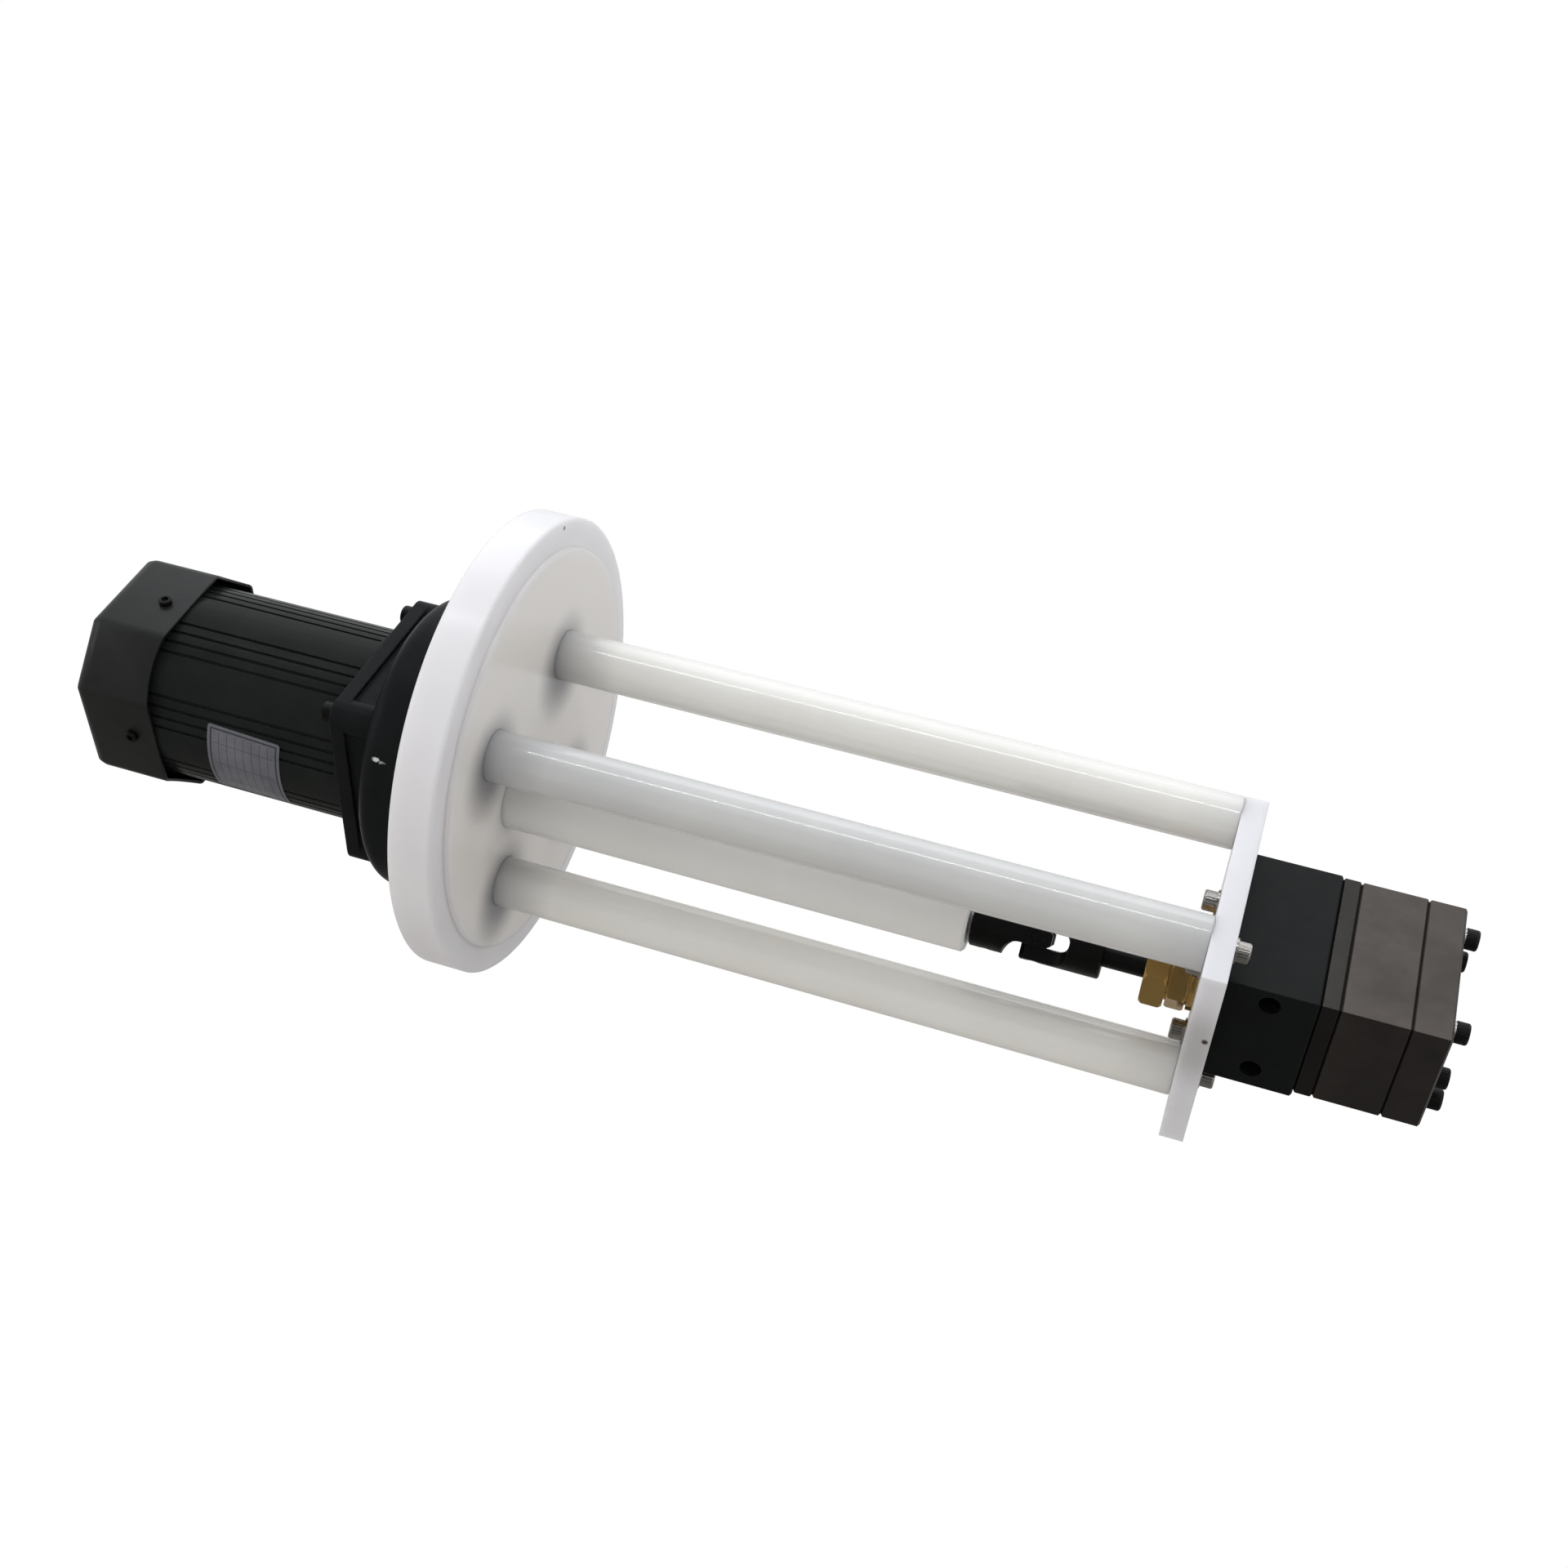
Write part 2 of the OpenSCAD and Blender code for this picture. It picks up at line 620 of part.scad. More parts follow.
module support_rod(x, y) color([0.86, 0.86, 0.84]) {
    rod_top = rod_socket - spigot_h;
    at_motor() translate([x, y] * rod_pitch / 2) difference() {
        translate([0, 0, plate_top]) bar(rod_d / 2, rod_top - plate_top, 0.6);
        translate([0, 0, rod_top - 18]) cylinder(r = case_screw_d / 2, h = 20);
        translate([0, 0, plate_top - eps]) cylinder(r = small_screw_d / 2, h = 16);
    }
}
module support_rod_1() support_rod(1, -1);
module support_rod_2() support_rod(1, 1);
module support_rod_3() support_rod(-1, 1);
module support_rod_4() support_rod(-1, -1);

module shaft_coupling() color([0.55, 0.56, 0.58]) difference() {
    at_shaft(coupling_mid - coupling_l / 2) bar(coupling_d / 2, coupling_l, 0.8);
    at_shaft(coupling_mid) cylinder(r = output_d / 2, h = coupling_l);
    at_shaft(coupling_mid - coupling_l) cylinder(r = drive_d / 2, h = coupling_l + 1);
    for (s = [-1, 1]) at_shaft(coupling_mid + s * coupling_l / 4) rotate([0, 90, 0])
        cylinder(r = set_screw_r, h = coupling_d);
}
module coupling_set_screws() color([0.1, 0.1, 0.11]) for (s = [-1, 1])
    at_shaft(coupling_mid + s * coupling_l / 4) rotate([0, 90, 0]) {
        seat = s > 0 ? output_d / 2 : drive_d / 2;
        translate([0, 0, seat]) cylinder(r = set_screw_r, h = coupling_d / 2 - seat - 0.5);
    }

module sleeve_tube() color([0.88, 0.88, 0.86]) at_shaft(sleeve_end) difference() {
    bar(sleeve_d / 2, sleeve_socket - spigot_h - sleeve_end, 1.2);
    translate([0, 0, -eps]) cylinder(r = sleeve_bore / 2, h = plate_drop);
}
module sleeve_bush() color([0.93, 0.92, 0.9])
    at_shaft(sleeve_end + 0.5) ring(sleeve_bore / 2, drive_d / 2 + fit, 16);

module drive_shaft() color([0.6, 0.61, 0.63])
    at_shaft(joint_top - yoke_hub + 2) bar(drive_d / 2, coupling_mid - joint_top + yoke_hub - 2, 0.6);

// yoke with its hub down at z = 0 and its ears pointing up, pierced along X
module yoke() {
    pivot = yoke_hub + ear_reach;
    difference() {
        bar(yoke_d / 2, pivot + ear_tip, 0.8);
        rotate([90, 0, 0]) linear_extrude(2 * yoke_d, center = true) {
            translate([0, yoke_hub + yoke_slot / 2]) circle(yoke_slot / 2);
            translate([-yoke_slot / 2, yoke_hub + yoke_slot / 2]) square([yoke_slot, pivot + ear_tip]);
        }
        for (turn = [0, 180]) rotate([0, 0, turn]) rotate([90, 0, 90])
            linear_extrude(2 * yoke_d, center = true) ear_side(pivot + ear_tip);
        translate([-yoke_d, 0, pivot]) rotate([0, 90, 0]) cylinder(r = cross_r, h = 2 * yoke_d);
        translate([0, 0, -eps]) cylinder(r = drive_d / 2, h = yoke_hub - 2 + eps);
        translate([0, 0, yoke_hub / 2]) rotate([-90, 0, 0]) cylinder(r = set_screw_r, h = yoke_d);
    }
}
// what is cut away beside an ear: a round hollow at the hub, a bevel at the tip
module ear_side(top) {
    hollow = (yoke_d - ear_w) / 2;
    bevel = 2;
    translate([ear_w / 2 + hollow, yoke_hub + hollow]) circle(hollow);
    translate([ear_w / 2 + hollow, yoke_hub]) square([yoke_d, top]);
    polygon([[ear_w / 2, yoke_hub + hollow], [yoke_d, yoke_hub + hollow], [yoke_d, top + 1],
        [ear_w / 2 - bevel - 1, top + 1], [ear_w / 2, top - bevel]]);
}
module upper_yoke() color([0.13, 0.13, 0.14])
    at_shaft(joint_top) rotate([0, 0, joint_turn]) rotate([180, 0, 0]) yoke();
module lower_yoke() color([0.13, 0.13, 0.14])
    at_shaft(joint_end) rotate([0, 0, joint_turn + 90]) yoke();

// square hub with four journals, whose ends stay below the ears' faces
module joint_cross() color([0.3, 0.3, 0.32]) at_shaft(joint_mid) rotate([0, 0, joint_turn]) {
    hub = yoke_slot - 0.6;
    difference() {
        cube(hub, center = true);
        for (k = [0 : 3]) rotate([0, 0, 45 + 90 * k]) translate([hub * 0.62, -hub, -hub])
            cube([hub, 2 * hub, 2 * hub]);
    }
    for (k = [0, 90]) rotate([0, 90, k]) cylinder(r = cross_r, h = yoke_d - 2, center = true);
}
module yoke_set_screws() color([0.1, 0.1, 0.11]) {
    for (z = [joint_top - yoke_hub / 2, joint_end + yoke_hub / 2]) {
        turn = z > joint_mid ? [90, 0, joint_turn] : [90, 0, joint_turn - 90];
        at_shaft(z) rotate(turn) translate([0, 0, drive_d / 2])
            cylinder(r = set_screw_r, h = (yoke_d - drive_d) / 2 - 0.8);
    }
}

module pump_shaft() color([0.16, 0.16, 0.17]) {
    top = joint_end + yoke_hub - 2;
    neck = plate_bottom - stem_depth - 4;
    end = gears_z - bush_l + 1;
    difference() {
        union() {
            at_shaft(neck - 1) bar(drive_d / 2, top - neck + 1, 0.6);
            at_shaft(end) bar(pump_shaft_d / 2, neck - end, 0.6);
        }
        key_seat();
    }
}
module key_seat() {
    at_shaft(wear_z - (gears_t - key_l) / 2 - key_l)
        translate([pump_shaft_d / 2 - key_w / 2, -key_w / 2, 0]) cube([key_w, key_w, key_l]);
}
module drive_key() color([0.55, 0.56, 0.58]) key_seat();

module gland_nut() color([0.72, 0.55, 0.25]) at_shaft(gland_top - nut_h) difference() {
    union() {
        intersection() {
            cylinder(r = nut_af / sqrt(3), h = nut_h, $fn = 6);
            bar(nut_af / sqrt(3), nut_h, 1.6);
        }
        translate([0, 0, -nut_skirt]) cylinder(r = packing_r, h = nut_skirt + eps);
    }
    translate([0, 0, -nut_skirt - eps]) cylinder(r = drive_d / 2 + 0.3, h = gland_h);
}
module gland_body() color([0.72, 0.55, 0.25]) {
    body_h = gland_h - nut_h;
    groove = 0.8;
    collar = 3;
    at_shaft(plate_top) difference() {
        union() {
            translate([0, 0, collar + groove]) rotate([0, 0, 30]) intersection() {
                cylinder(r = gland_af / sqrt(3), h = body_h - collar - 2 * groove, $fn = 6);
                bar(gland_af / sqrt(3), body_h - collar - 2 * groove, 1.2);
            }
            cylinder(r = gland_af / 2 - 1.5, h = body_h);
            cylinder(r = gland_af / 2 + 0.5, h = collar);
            translate([0, 0, -plate_t - stem_depth])
                cylinder(r = gland_stem_d / 2, h = plate_t + stem_depth + eps);
        }
        translate([0, 0, 2 - plate_t - stem_depth]) cylinder(r = packing_r, h = gland_h + plate_t + stem_depth);
        translate([0, 0, -2 * plate_t - stem_depth]) cylinder(r = drive_d / 2 + 0.3, h = plate_drop / 4);
    }
}
module gland_packing() color([0.85, 0.84, 0.8]) {
    low = plate_bottom - stem_depth + 2;
    top = gland_top - nut_h - nut_skirt;
    at_shaft(low) ring(packing_r, drive_d / 2 + fit, top - low);
}

module end_plate() color([0.90, 0.90, 0.92]) difference() {
    at_motor(plate_bottom) translate([-plate_x / 2, plate_off - plate_y / 2, 0])
        cube([plate_x, plate_y, plate_t]);
    at_shaft(plate_bottom - eps) cylinder(r = gland_stem_d / 2, h = plate_t + 1);
    at_rods(plate_bottom - eps) cylinder(r = small_screw_d / 2 + 0.3, h = plate_t + 1);
    at_bolts(plate_bolt_x, plate_bolt_y, plate_bolt_shift, plate_bottom - eps)
        cylinder(r = small_screw_d / 2 + 0.3, h = plate_t + 1);
}
module plate_screws() color([0.75, 0.75, 0.76])
    at_bolts(plate_bolt_x, plate_bolt_y, plate_bolt_shift, plate_top + washer_t)
        cap_screw(small_screw_d, washer_t + plate_t + plate_bolt_depth);
module plate_washers() color([0.75, 0.75, 0.76])
    at_bolts(plate_bolt_x, plate_bolt_y, plate_bolt_shift, plate_top) washer(small_screw_d);
// three screws hold the rods to the plate, and a sunk stud holds the fourth
module rod_screws() color([0.75, 0.75, 0.76]) {
    bite = plate_t + 14;
    at_headed_rods(plate_bottom - washer_t) rotate([180, 0, 0])
        cap_screw(small_screw_d, washer_t + bite);
    at_motor(plate_bottom + 1) translate([1, 1] * rod_pitch / 2)
        cylinder(r = small_screw_d / 2, h = bite - 1);
}
module rod_washers() color([0.75, 0.75, 0.76])
    at_headed_rods(plate_bottom - washer_t) washer(small_screw_d);
module at_headed_rods(z) {
    for (rod = [[1, -1], [-1, -1], [-1, 1]]) at_motor(z) translate(rod * rod_pitch / 2) children();
}

// a plate of the stack, its seam edges bevelled
module stack_plate(z, t, grow = 0, back = 0) {
    w = pump_x + grow + back;
    l = pump_y + grow;
    at_motor(z) translate([-back / 2, pump_off, 0]) intersection() {
        translate([0, 0, t / 2]) cube([w, l, t], center = true);
        rotate([90, 0, 0]) linear_extrude(2 * l, center = true) bevelled(w, t);
        rotate([90, 0, 90]) linear_extrude(2 * w, center = true) bevelled(l, t);
    }
}
module bevelled(w, t) {
    polygon([[-w / 2 + seam, 0], [w / 2 - seam, 0], [w / 2, seam], [w / 2, t - seam],
        [w / 2 - seam, t], [-w / 2 + seam, t], [-w / 2, t - seam], [-w / 2, seam]]);
}
module dowel_holes() {
    for (s = [-1, 1]) at_motor(cover_plate_z + 6) translate([s * dowel_x, pump_gear_mid + s * pump_c / 2, 0])
        cylinder(r = dowel_r, h = block_z + 5 - cover_plate_z - 6);
}
module long_bolt_holes(extra) {
    at_bolts(bolt_x, bolt_y, bolt_shift, cover_plate_z - 1)
        cylinder(r = big_screw_d / 2 + extra, h = block_z - cover_plate_z + 1 + bolt_grip);
}
module port_channels() {
    for (s = [-1, 1]) at_motor() translate([s * port_pitch / 2, 0, 0]) {
        translate([0, pump_gear_mid, wear_z - 1]) cylinder(r = channel_r, h = port_z - wear_z + 1);
        translate([0, block_face_y - 1, port_z]) rotate([-90, 0, 0])
            cylinder(r = channel_r, h = pump_gear_mid - block_face_y + 1);
        translate([0, block_face_y - 1, port_z]) rotate([-90, 0, 0]) cylinder(r = port_r, h = port_in + 1);
    }
}
module drive_block() color([0.11, 0.12, 0.125]) difference() {
    stack_plate(block_z, block_t, block_proud, block_back);
    at_shaft(plate_bottom - stem_depth) cylinder(r = gland_stem_d / 2, h = stem_depth + 1);
    at_shaft(block_z - 1) cylinder(r = pump_shaft_d / 2 + 1, h = block_t);
    at_shaft(block_z - 1) cylinder(r = bush_r, h = bush_l - wear_t + 1);
    at_driven(block_z - 1) cylinder(r = bush_r, h = bush_l - wear_t + 1);
    at_bolts(plate_bolt_x, plate_bolt_y, plate_bolt_shift, plate_bottom - plate_bolt_depth)
        cylinder(r = small_screw_d / 2, h = plate_bolt_depth + 1);
    long_bolt_holes(0);
    dowel_holes();
    port_channels();
}
module wear_plate() color([0.34, 0.31, 0.31]) difference() {
    stack_plate(wear_z, wear_t);
    at_shaft(wear_z - 1) cylinder(r = bush_r, h = wear_t + 2);
    at_driven(wear_z - 1) cylinder(r = bush_r, h = wear_t + 2);
    long_bolt_holes(play / 2);
    dowel_holes();
    port_channels();
}
module gear_plate() color([0.36, 0.33, 0.32]) difference() {
    pocket = port_pitch + 2 * channel_r;
    stack_plate(gears_z, gears_t);
    at_shaft(gears_z - 1) cylinder(r = tip_r + fit, h = gears_t + 2);
    at_driven(gears_z - 1) cylinder(r = tip_r + fit, h = gears_t + 2);
    at_motor(gears_z - 1) translate([-pocket / 2, pump_gear_mid - channel_r, 0])
        cube([pocket, 2 * channel_r, gears_t + 2]);
    long_bolt_holes(play / 2);
    dowel_holes();
}
module cover_plate() color([0.37, 0.34, 0.33]) difference() {
    stack_plate(cover_plate_z, cover_t);
    for (at = [0, 1]) translate([motor_x, motor_y - shaft_off + at * pump_c, gears_z - bush_l])
        cylinder(r = bush_r, h = bush_l + 1);
    long_bolt_holes(play / 2);
    dowel_holes();
    at_jacks(cover_plate_z - 1) cylinder(r = big_screw_d / 2, h = jack_l + 1);
}

module drive_gear() color([0.55, 0.55, 0.57]) difference() {
    at_shaft(gears_z + fit) gear(pump_z, pump_module, pump_angle, gears_t - 2 * fit, 90);
    at_shaft(gears_z - 1) cylinder(r = pump_shaft_d / 2, h = gears_t + 2);
    key_seat();
}
module driven_gear() color([0.55, 0.55, 0.57]) difference() {
    at_driven(gears_z + fit)
        gear(pump_z, pump_module, pump_angle, gears_t - 2 * fit, 270 + 180 / pump_z);
    at_driven(gears_z - 1) cylinder(r = pump_shaft_d / 2, h = gears_t + 2);
}
module driven_shaft() color([0.6, 0.61, 0.63])
    at_driven(gears_z - bush_l + 1) bar(pump_shaft_d / 2, gears_t + 2 * bush_l - 2, 0.6);
module shaft_bushes() color([0.68, 0.5, 0.22]) {
    for (z = [wear_z, gears_z - bush_l]) {
        at_shaft(z) ring(bush_r, pump_shaft_d / 2 + fit, bush_l);
        at_driven(z) ring(bush_r, pump_shaft_d / 2 + fit, bush_l);
    }
}
module dowel_pins() color([0.6, 0.61, 0.63]) dowel_holes();

module cover_screws() color([0.07, 0.07, 0.08])
    at_bolts(bolt_x, bolt_y, bolt_shift, cover_plate_z - washer_t) rotate([180, 0, 0])
        cap_screw(big_screw_d, washer_t + block_z - cover_plate_z + bolt_grip);
module cover_washers() color([0.1, 0.1, 0.11])
    at_bolts(bolt_x, bolt_y, bolt_shift, cover_plate_z - washer_t) ring(head_r(big_screw_d) - 0.4, big_screw_d / 2, washer_t);
module jack_screws() color([0.07, 0.07, 0.08])
    at_jacks(cover_plate_z) rotate([180, 0, 0]) cap_screw(big_screw_d, jack_l);

fan_cover();
fan_cover_screws();
cooling_fan();
rear_end_shield();
rear_bearing();
stator_housing();
nameplate();
stator_core();
windings();
rotor_core();
rotor_shaft();
rotor_pinion();
front_bearing();
gear_case();
case_screws();
case_washers();
intermediate_shaft();
intermediate_gear();
intermediate_bushes();
output_wheel();
output_shaft();
upper_output_bearing();
lower_output_bearing();
adapter_flange();
mounting_disc();
support_rod_1();
support_rod_2();
support_rod_3();
support_rod_4();
shaft_coupling();
coupling_set_screws();
sleeve_tube();
sleeve_bush();
drive_shaft();
upper_yoke();
joint_cross();
lower_yoke();
yoke_set_screws();
pump_shaft();
gland_nut();
gland_body();
gland_packing();
end_plate();
plate_screws();
plate_washers();
rod_screws();
rod_washers();
drive_block();
wear_plate();
gear_plate();
cover_plate();
drive_gear();
driven_gear();
driven_shaft();
drive_key();
shaft_bushes();
dowel_pins();
cover_screws();
cover_washers();
jack_screws();
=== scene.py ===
# Immersion gear pump: finishes, knurled screws, rating plate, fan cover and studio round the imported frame.
import json
import math

import bmesh
import bpy
from mathutils import Matrix, Vector


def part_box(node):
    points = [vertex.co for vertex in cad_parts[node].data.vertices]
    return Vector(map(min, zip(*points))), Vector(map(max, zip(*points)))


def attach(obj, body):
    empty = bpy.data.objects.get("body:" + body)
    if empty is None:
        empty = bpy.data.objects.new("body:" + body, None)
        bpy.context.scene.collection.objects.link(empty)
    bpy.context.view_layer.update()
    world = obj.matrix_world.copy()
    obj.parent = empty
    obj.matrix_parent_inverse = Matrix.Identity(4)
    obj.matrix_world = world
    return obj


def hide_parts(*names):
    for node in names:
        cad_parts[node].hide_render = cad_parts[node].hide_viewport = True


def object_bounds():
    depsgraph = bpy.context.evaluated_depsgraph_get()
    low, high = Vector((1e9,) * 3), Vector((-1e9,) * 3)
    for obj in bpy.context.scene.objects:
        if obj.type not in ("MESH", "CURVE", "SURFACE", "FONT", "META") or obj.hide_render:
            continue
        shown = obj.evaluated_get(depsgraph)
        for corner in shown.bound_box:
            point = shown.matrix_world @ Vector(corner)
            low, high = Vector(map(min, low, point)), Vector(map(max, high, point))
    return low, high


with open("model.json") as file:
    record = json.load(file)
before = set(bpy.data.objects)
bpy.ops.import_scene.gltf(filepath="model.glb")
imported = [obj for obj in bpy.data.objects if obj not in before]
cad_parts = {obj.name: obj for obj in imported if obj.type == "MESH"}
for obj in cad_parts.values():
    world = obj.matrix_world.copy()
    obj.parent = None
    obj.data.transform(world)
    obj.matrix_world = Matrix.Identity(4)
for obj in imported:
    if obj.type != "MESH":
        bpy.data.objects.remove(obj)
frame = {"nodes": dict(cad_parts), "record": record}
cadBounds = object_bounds()
nodes = frame["nodes"]
mm = 0.001
bodyOf = {name: body for body, names in frame["record"]["behaviour"]["bodies"].items() for name in names}
slotOf = {part["node"]: part["material_slot"] for part in frame["record"]["subparts"]}
rods = [f"support_rod_{number}" for number in range(1, 5)]
print("frame loaded:", len(nodes), "nodes")

view = {
    "azimuth": 42.89,  # degrees round the pump, 0 looks along +Y
    "tilt": 12.33,  # looks up along the shaft by this much
    "roll": 14.51,  # the shaft's slope in the picture
    "distance": 0.94805,  # these three are metres from the disc's middle: towards the camera, across and up
    "side": 0.01376,
    "height": -0.33703,
    "focal": 2406.34,  # in pixels of a 1920 pixel picture
    "pixels": 1920,
    "sensor": 36,
}


# unit vectors from the pump to the camera, and across the view in the ground plane
def viewAxes(azimuth):
    a = math.radians(azimuth)
    return Vector((math.sin(a), -math.cos(a), 0)), Vector((math.cos(a), math.sin(a), 0))


toCamera, acrossView = viewAxes(view["azimuth"])


def makeCamera(v):
    up = Vector((0, 0, 1))
    t, r = math.radians(v["tilt"]), math.radians(v["roll"])
    towards = up * math.sin(t) - toCamera * math.cos(t)
    shaftway = up * math.cos(t) + toCamera * math.sin(t)
    right = acrossView * math.sin(r) - shaftway * math.cos(r)
    down = -acrossView * math.cos(r) - shaftway * math.sin(r)
    data = bpy.data.cameras.new("photoView")
    data.sensor_width = v["sensor"]
    data.lens = v["focal"] / v["pixels"] * v["sensor"]
    camera = bpy.data.objects.new("photoView", data)
    bpy.context.scene.collection.objects.link(camera)
    turn = Matrix((right, -down, -towards)).transposed().to_4x4()
    place = toCamera * v["distance"] + acrossView * v["side"] + up * v["height"]
    camera.matrix_world = Matrix.Translation(place) @ turn
    bpy.context.scene.camera = camera


makeCamera(view)
print("camera placed")


def addNode(tree, kind, values=None, **props):
    node = tree.nodes.new(kind)
    for name, value in props.items():
        setattr(node, name, value)
    for name, value in (values or {}).items():
        node.inputs[name].default_value = value
    return node


def link(tree, source, target):
    tree.links.new(source, target)


def newGroup(name, inputs, outputs):
    group = bpy.data.node_groups.new(name, "ShaderNodeTree")
    for label, kind, value in inputs:
        socket = group.interface.new_socket(label, in_out="INPUT", socket_type=kind)
        if value is not None:
            socket.default_value = value
    for label, kind in outputs:
        group.interface.new_socket(label, in_out="OUTPUT", socket_type=kind)
    return group, addNode(group, "NodeGroupInput"), addNode(group, "NodeGroupOutput")


def useGroup(tree, name, place, values=None):
    node = addNode(tree, "ShaderNodeGroup", values, node_tree=bpy.data.node_groups[name])
    link(tree, place, node.inputs["Vector"])
    return node


# each value is linked where it is a socket, and set where it is a number or a colour
def feed(tree, sockets, values):
    for socket, value in zip(sockets, values):
        if isinstance(value, bpy.types.NodeSocket):
            link(tree, value, socket)
        else:
            socket.default_value = value


def mathNode(tree, operation, a, b, clamp=False):
    node = addNode(tree, "ShaderNodeMath", operation=operation, use_clamp=clamp)
    feed(tree, node.inputs, (a, b))
    return node.outputs[0]


def mixColour(tree, factor, a, b):
    node = addNode(tree, "ShaderNodeMix", data_type="RGBA")
    feed(tree, [socket for socket in node.inputs if socket.enabled], (factor, a, b))
    return [socket for socket in node.outputs if socket.enabled][0]


def mixFloat(tree, factor, a, b):
    node = addNode(tree, "ShaderNodeMix", data_type="FLOAT")
    feed(tree, (node.inputs[0], node.inputs[2], node.inputs[3]), (factor, a, b))
    return node.outputs[0]


# how far a place lies along a direction
def measureAlong(tree, place, direction):
    node = addNode(tree, "ShaderNodeVectorMath", operation="DOT_PRODUCT")
    feed(tree, node.inputs, (place, direction))
    return node.outputs["Value"]


def spread(tree, source, fromLow, fromHigh, toLow, toHigh):
    fit = {"From Min": fromLow, "From Max": fromHigh, "To Min": toLow, "To Max": toHigh}
    node = addNode(tree, "ShaderNodeMapRange", fit)
    link(tree, source, node.inputs["Value"])
    return node.outputs["Result"]


# broad uneven patches, such as handling marks
def buildMottle():
    group, given, out = newGroup("mottle", [
        ("Vector", "NodeSocketVector", None), ("Scale", "NodeSocketFloat", 20.0),
        ("Low", "NodeSocketFloat", 0.0), ("High", "NodeSocketFloat", 1.0),
    ], [("Value", "NodeSocketFloat")])
    noise = addNode(group, "ShaderNodeTexNoise", {"Detail": 4.0, "Roughness": 0.6})
    fit = addNode(group, "ShaderNodeMapRange", {"From Min": 0.3, "From Max": 0.7})
    link(group, given.outputs["Vector"], noise.inputs["Vector"])
    link(group, given.outputs["Scale"], noise.inputs["Scale"])
    link(group, noise.outputs["Fac"], fit.inputs["Value"])
    link(group, given.outputs["Low"], fit.inputs["To Min"])
    link(group, given.outputs["High"], fit.inputs["To Max"])
    link(group, fit.outputs["Result"], out.inputs["Value"])


# edge wear, where the rounded normal leaves the true one; on some finishes these lighter edges are painted
# highlights
def buildEdgeWearAndGlint():
    group, given, out = newGroup("edgeWearAndGlint", [
        ("Vector", "NodeSocketVector", None), ("Radius", "NodeSocketFloat", 0.001),
        ("Breakup", "NodeSocketFloat", 300.0),
    ], [("Mask", "NodeSocketFloat"), ("Normal", "NodeSocketVector")])
    soft = addNode(group, "ShaderNodeBevel", samples=6)
    true = addNode(group, "ShaderNodeNewGeometry")
    noise = addNode(group, "ShaderNodeTexNoise", {"Detail": 3.0})
    link(group, given.outputs["Radius"], soft.inputs["Radius"])
    link(group, given.outputs["Vector"], noise.inputs["Vector"])
    link(group, given.outputs["Breakup"], noise.inputs["Scale"])
    agreement = measureAlong(group, soft.outputs["Normal"], true.outputs["Normal"])
    edge = spread(group, agreement, 0.995, 0.85, 0.0, 1.0)
    broken = spread(group, noise.outputs["Fac"], 0.4, 0.65, 0.0, 1.0)
    link(group, mathNode(group, "MULTIPLY", edge, broken, True), out.inputs["Mask"])
    link(group, soft.outputs["Normal"], out.inputs["Normal"])


# fine grain as a height, stretched along an axis for brushed, sawn and turned work
def buildGrain():
    group, given, out = newGroup("grain", [
        ("Vector", "NodeSocketVector", None), ("Scale", "NodeSocketFloat", 900.0),
        ("Stretch", "NodeSocketVector", (1.0, 1.0, 1.0)), ("Detail", "NodeSocketFloat", 3.0),
    ], [("Height", "NodeSocketFloat")])
    stretched = addNode(group, "ShaderNodeVectorMath", operation="MULTIPLY")
    noise = addNode(group, "ShaderNodeTexNoise", {"Roughness": 0.6})
    link(group, given.outputs["Vector"], stretched.inputs[0])
    link(group, given.outputs["Stretch"], stretched.inputs[1])
    link(group, stretched.outputs["Vector"], noise.inputs["Vector"])
    link(group, given.outputs["Scale"], noise.inputs["Scale"])
    link(group, given.outputs["Detail"], noise.inputs["Detail"])
    link(group, noise.outputs["Fac"], out.inputs["Height"])


# a soft round spot about a centre; Axes squeezes the distance, so that 0 makes a column of it
def buildSpot():
    group, given, out = newGroup("spot", [
        ("Vector", "NodeSocketVector", None), ("Centre", "NodeSocketVector", (0.0, 0.0, 0.0)),
        ("Axes", "NodeSocketVector", (1.0, 1.0, 1.0)), ("Inner", "NodeSocketFloat", 0.0),
        ("Outer", "NodeSocketFloat", 0.01), ("Ragged", "NodeSocketFloat", 0.0),
    ], [("Mask", "NodeSocketFloat")])
    away = addNode(group, "ShaderNodeVectorMath", operation="SUBTRACT")
    squeezed = addNode(group, "ShaderNodeVectorMath", operation="MULTIPLY")
    far = addNode(group, "ShaderNodeVectorMath", operation="LENGTH")
    noise = addNode(group, "ShaderNodeTexNoise", {"Scale": 900.0, "Detail": 2.0})
    fit = addNode(group, "ShaderNodeMapRange", {"To Min": 1.0, "To Max": 0.0}, interpolation_type="SMOOTHSTEP")
    link(group, given.outputs["Vector"], away.inputs[0])
    link(group, given.outputs["Centre"], away.inputs[1])
    link(group, away.outputs["Vector"], squeezed.inputs[0])
    link(group, given.outputs["Axes"], squeezed.inputs[1])
    link(group, squeezed.outputs["Vector"], far.inputs[0])
    link(group, given.outputs["Vector"], noise.inputs["Vector"])
    ripple = mathNode(group, "SUBTRACT", noise.outputs["Fac"], 0.5)
    offset = mathNode(group, "MULTIPLY", ripple, given.outputs["Ragged"])
    link(group, mathNode(group, "ADD", far.outputs["Value"], offset), fit.inputs["Value"])
    link(group, given.outputs["Inner"], fit.inputs["From Min"])
    link(group, given.outputs["Outer"], fit.inputs["From Max"])
    link(group, fit.outputs["Result"], out.inputs["Mask"])


for build in (buildMottle, buildEdgeWearAndGlint, buildGrain, buildSpot):
    build()
print("effect groups built")


reliefDepth = 0.4 * mm

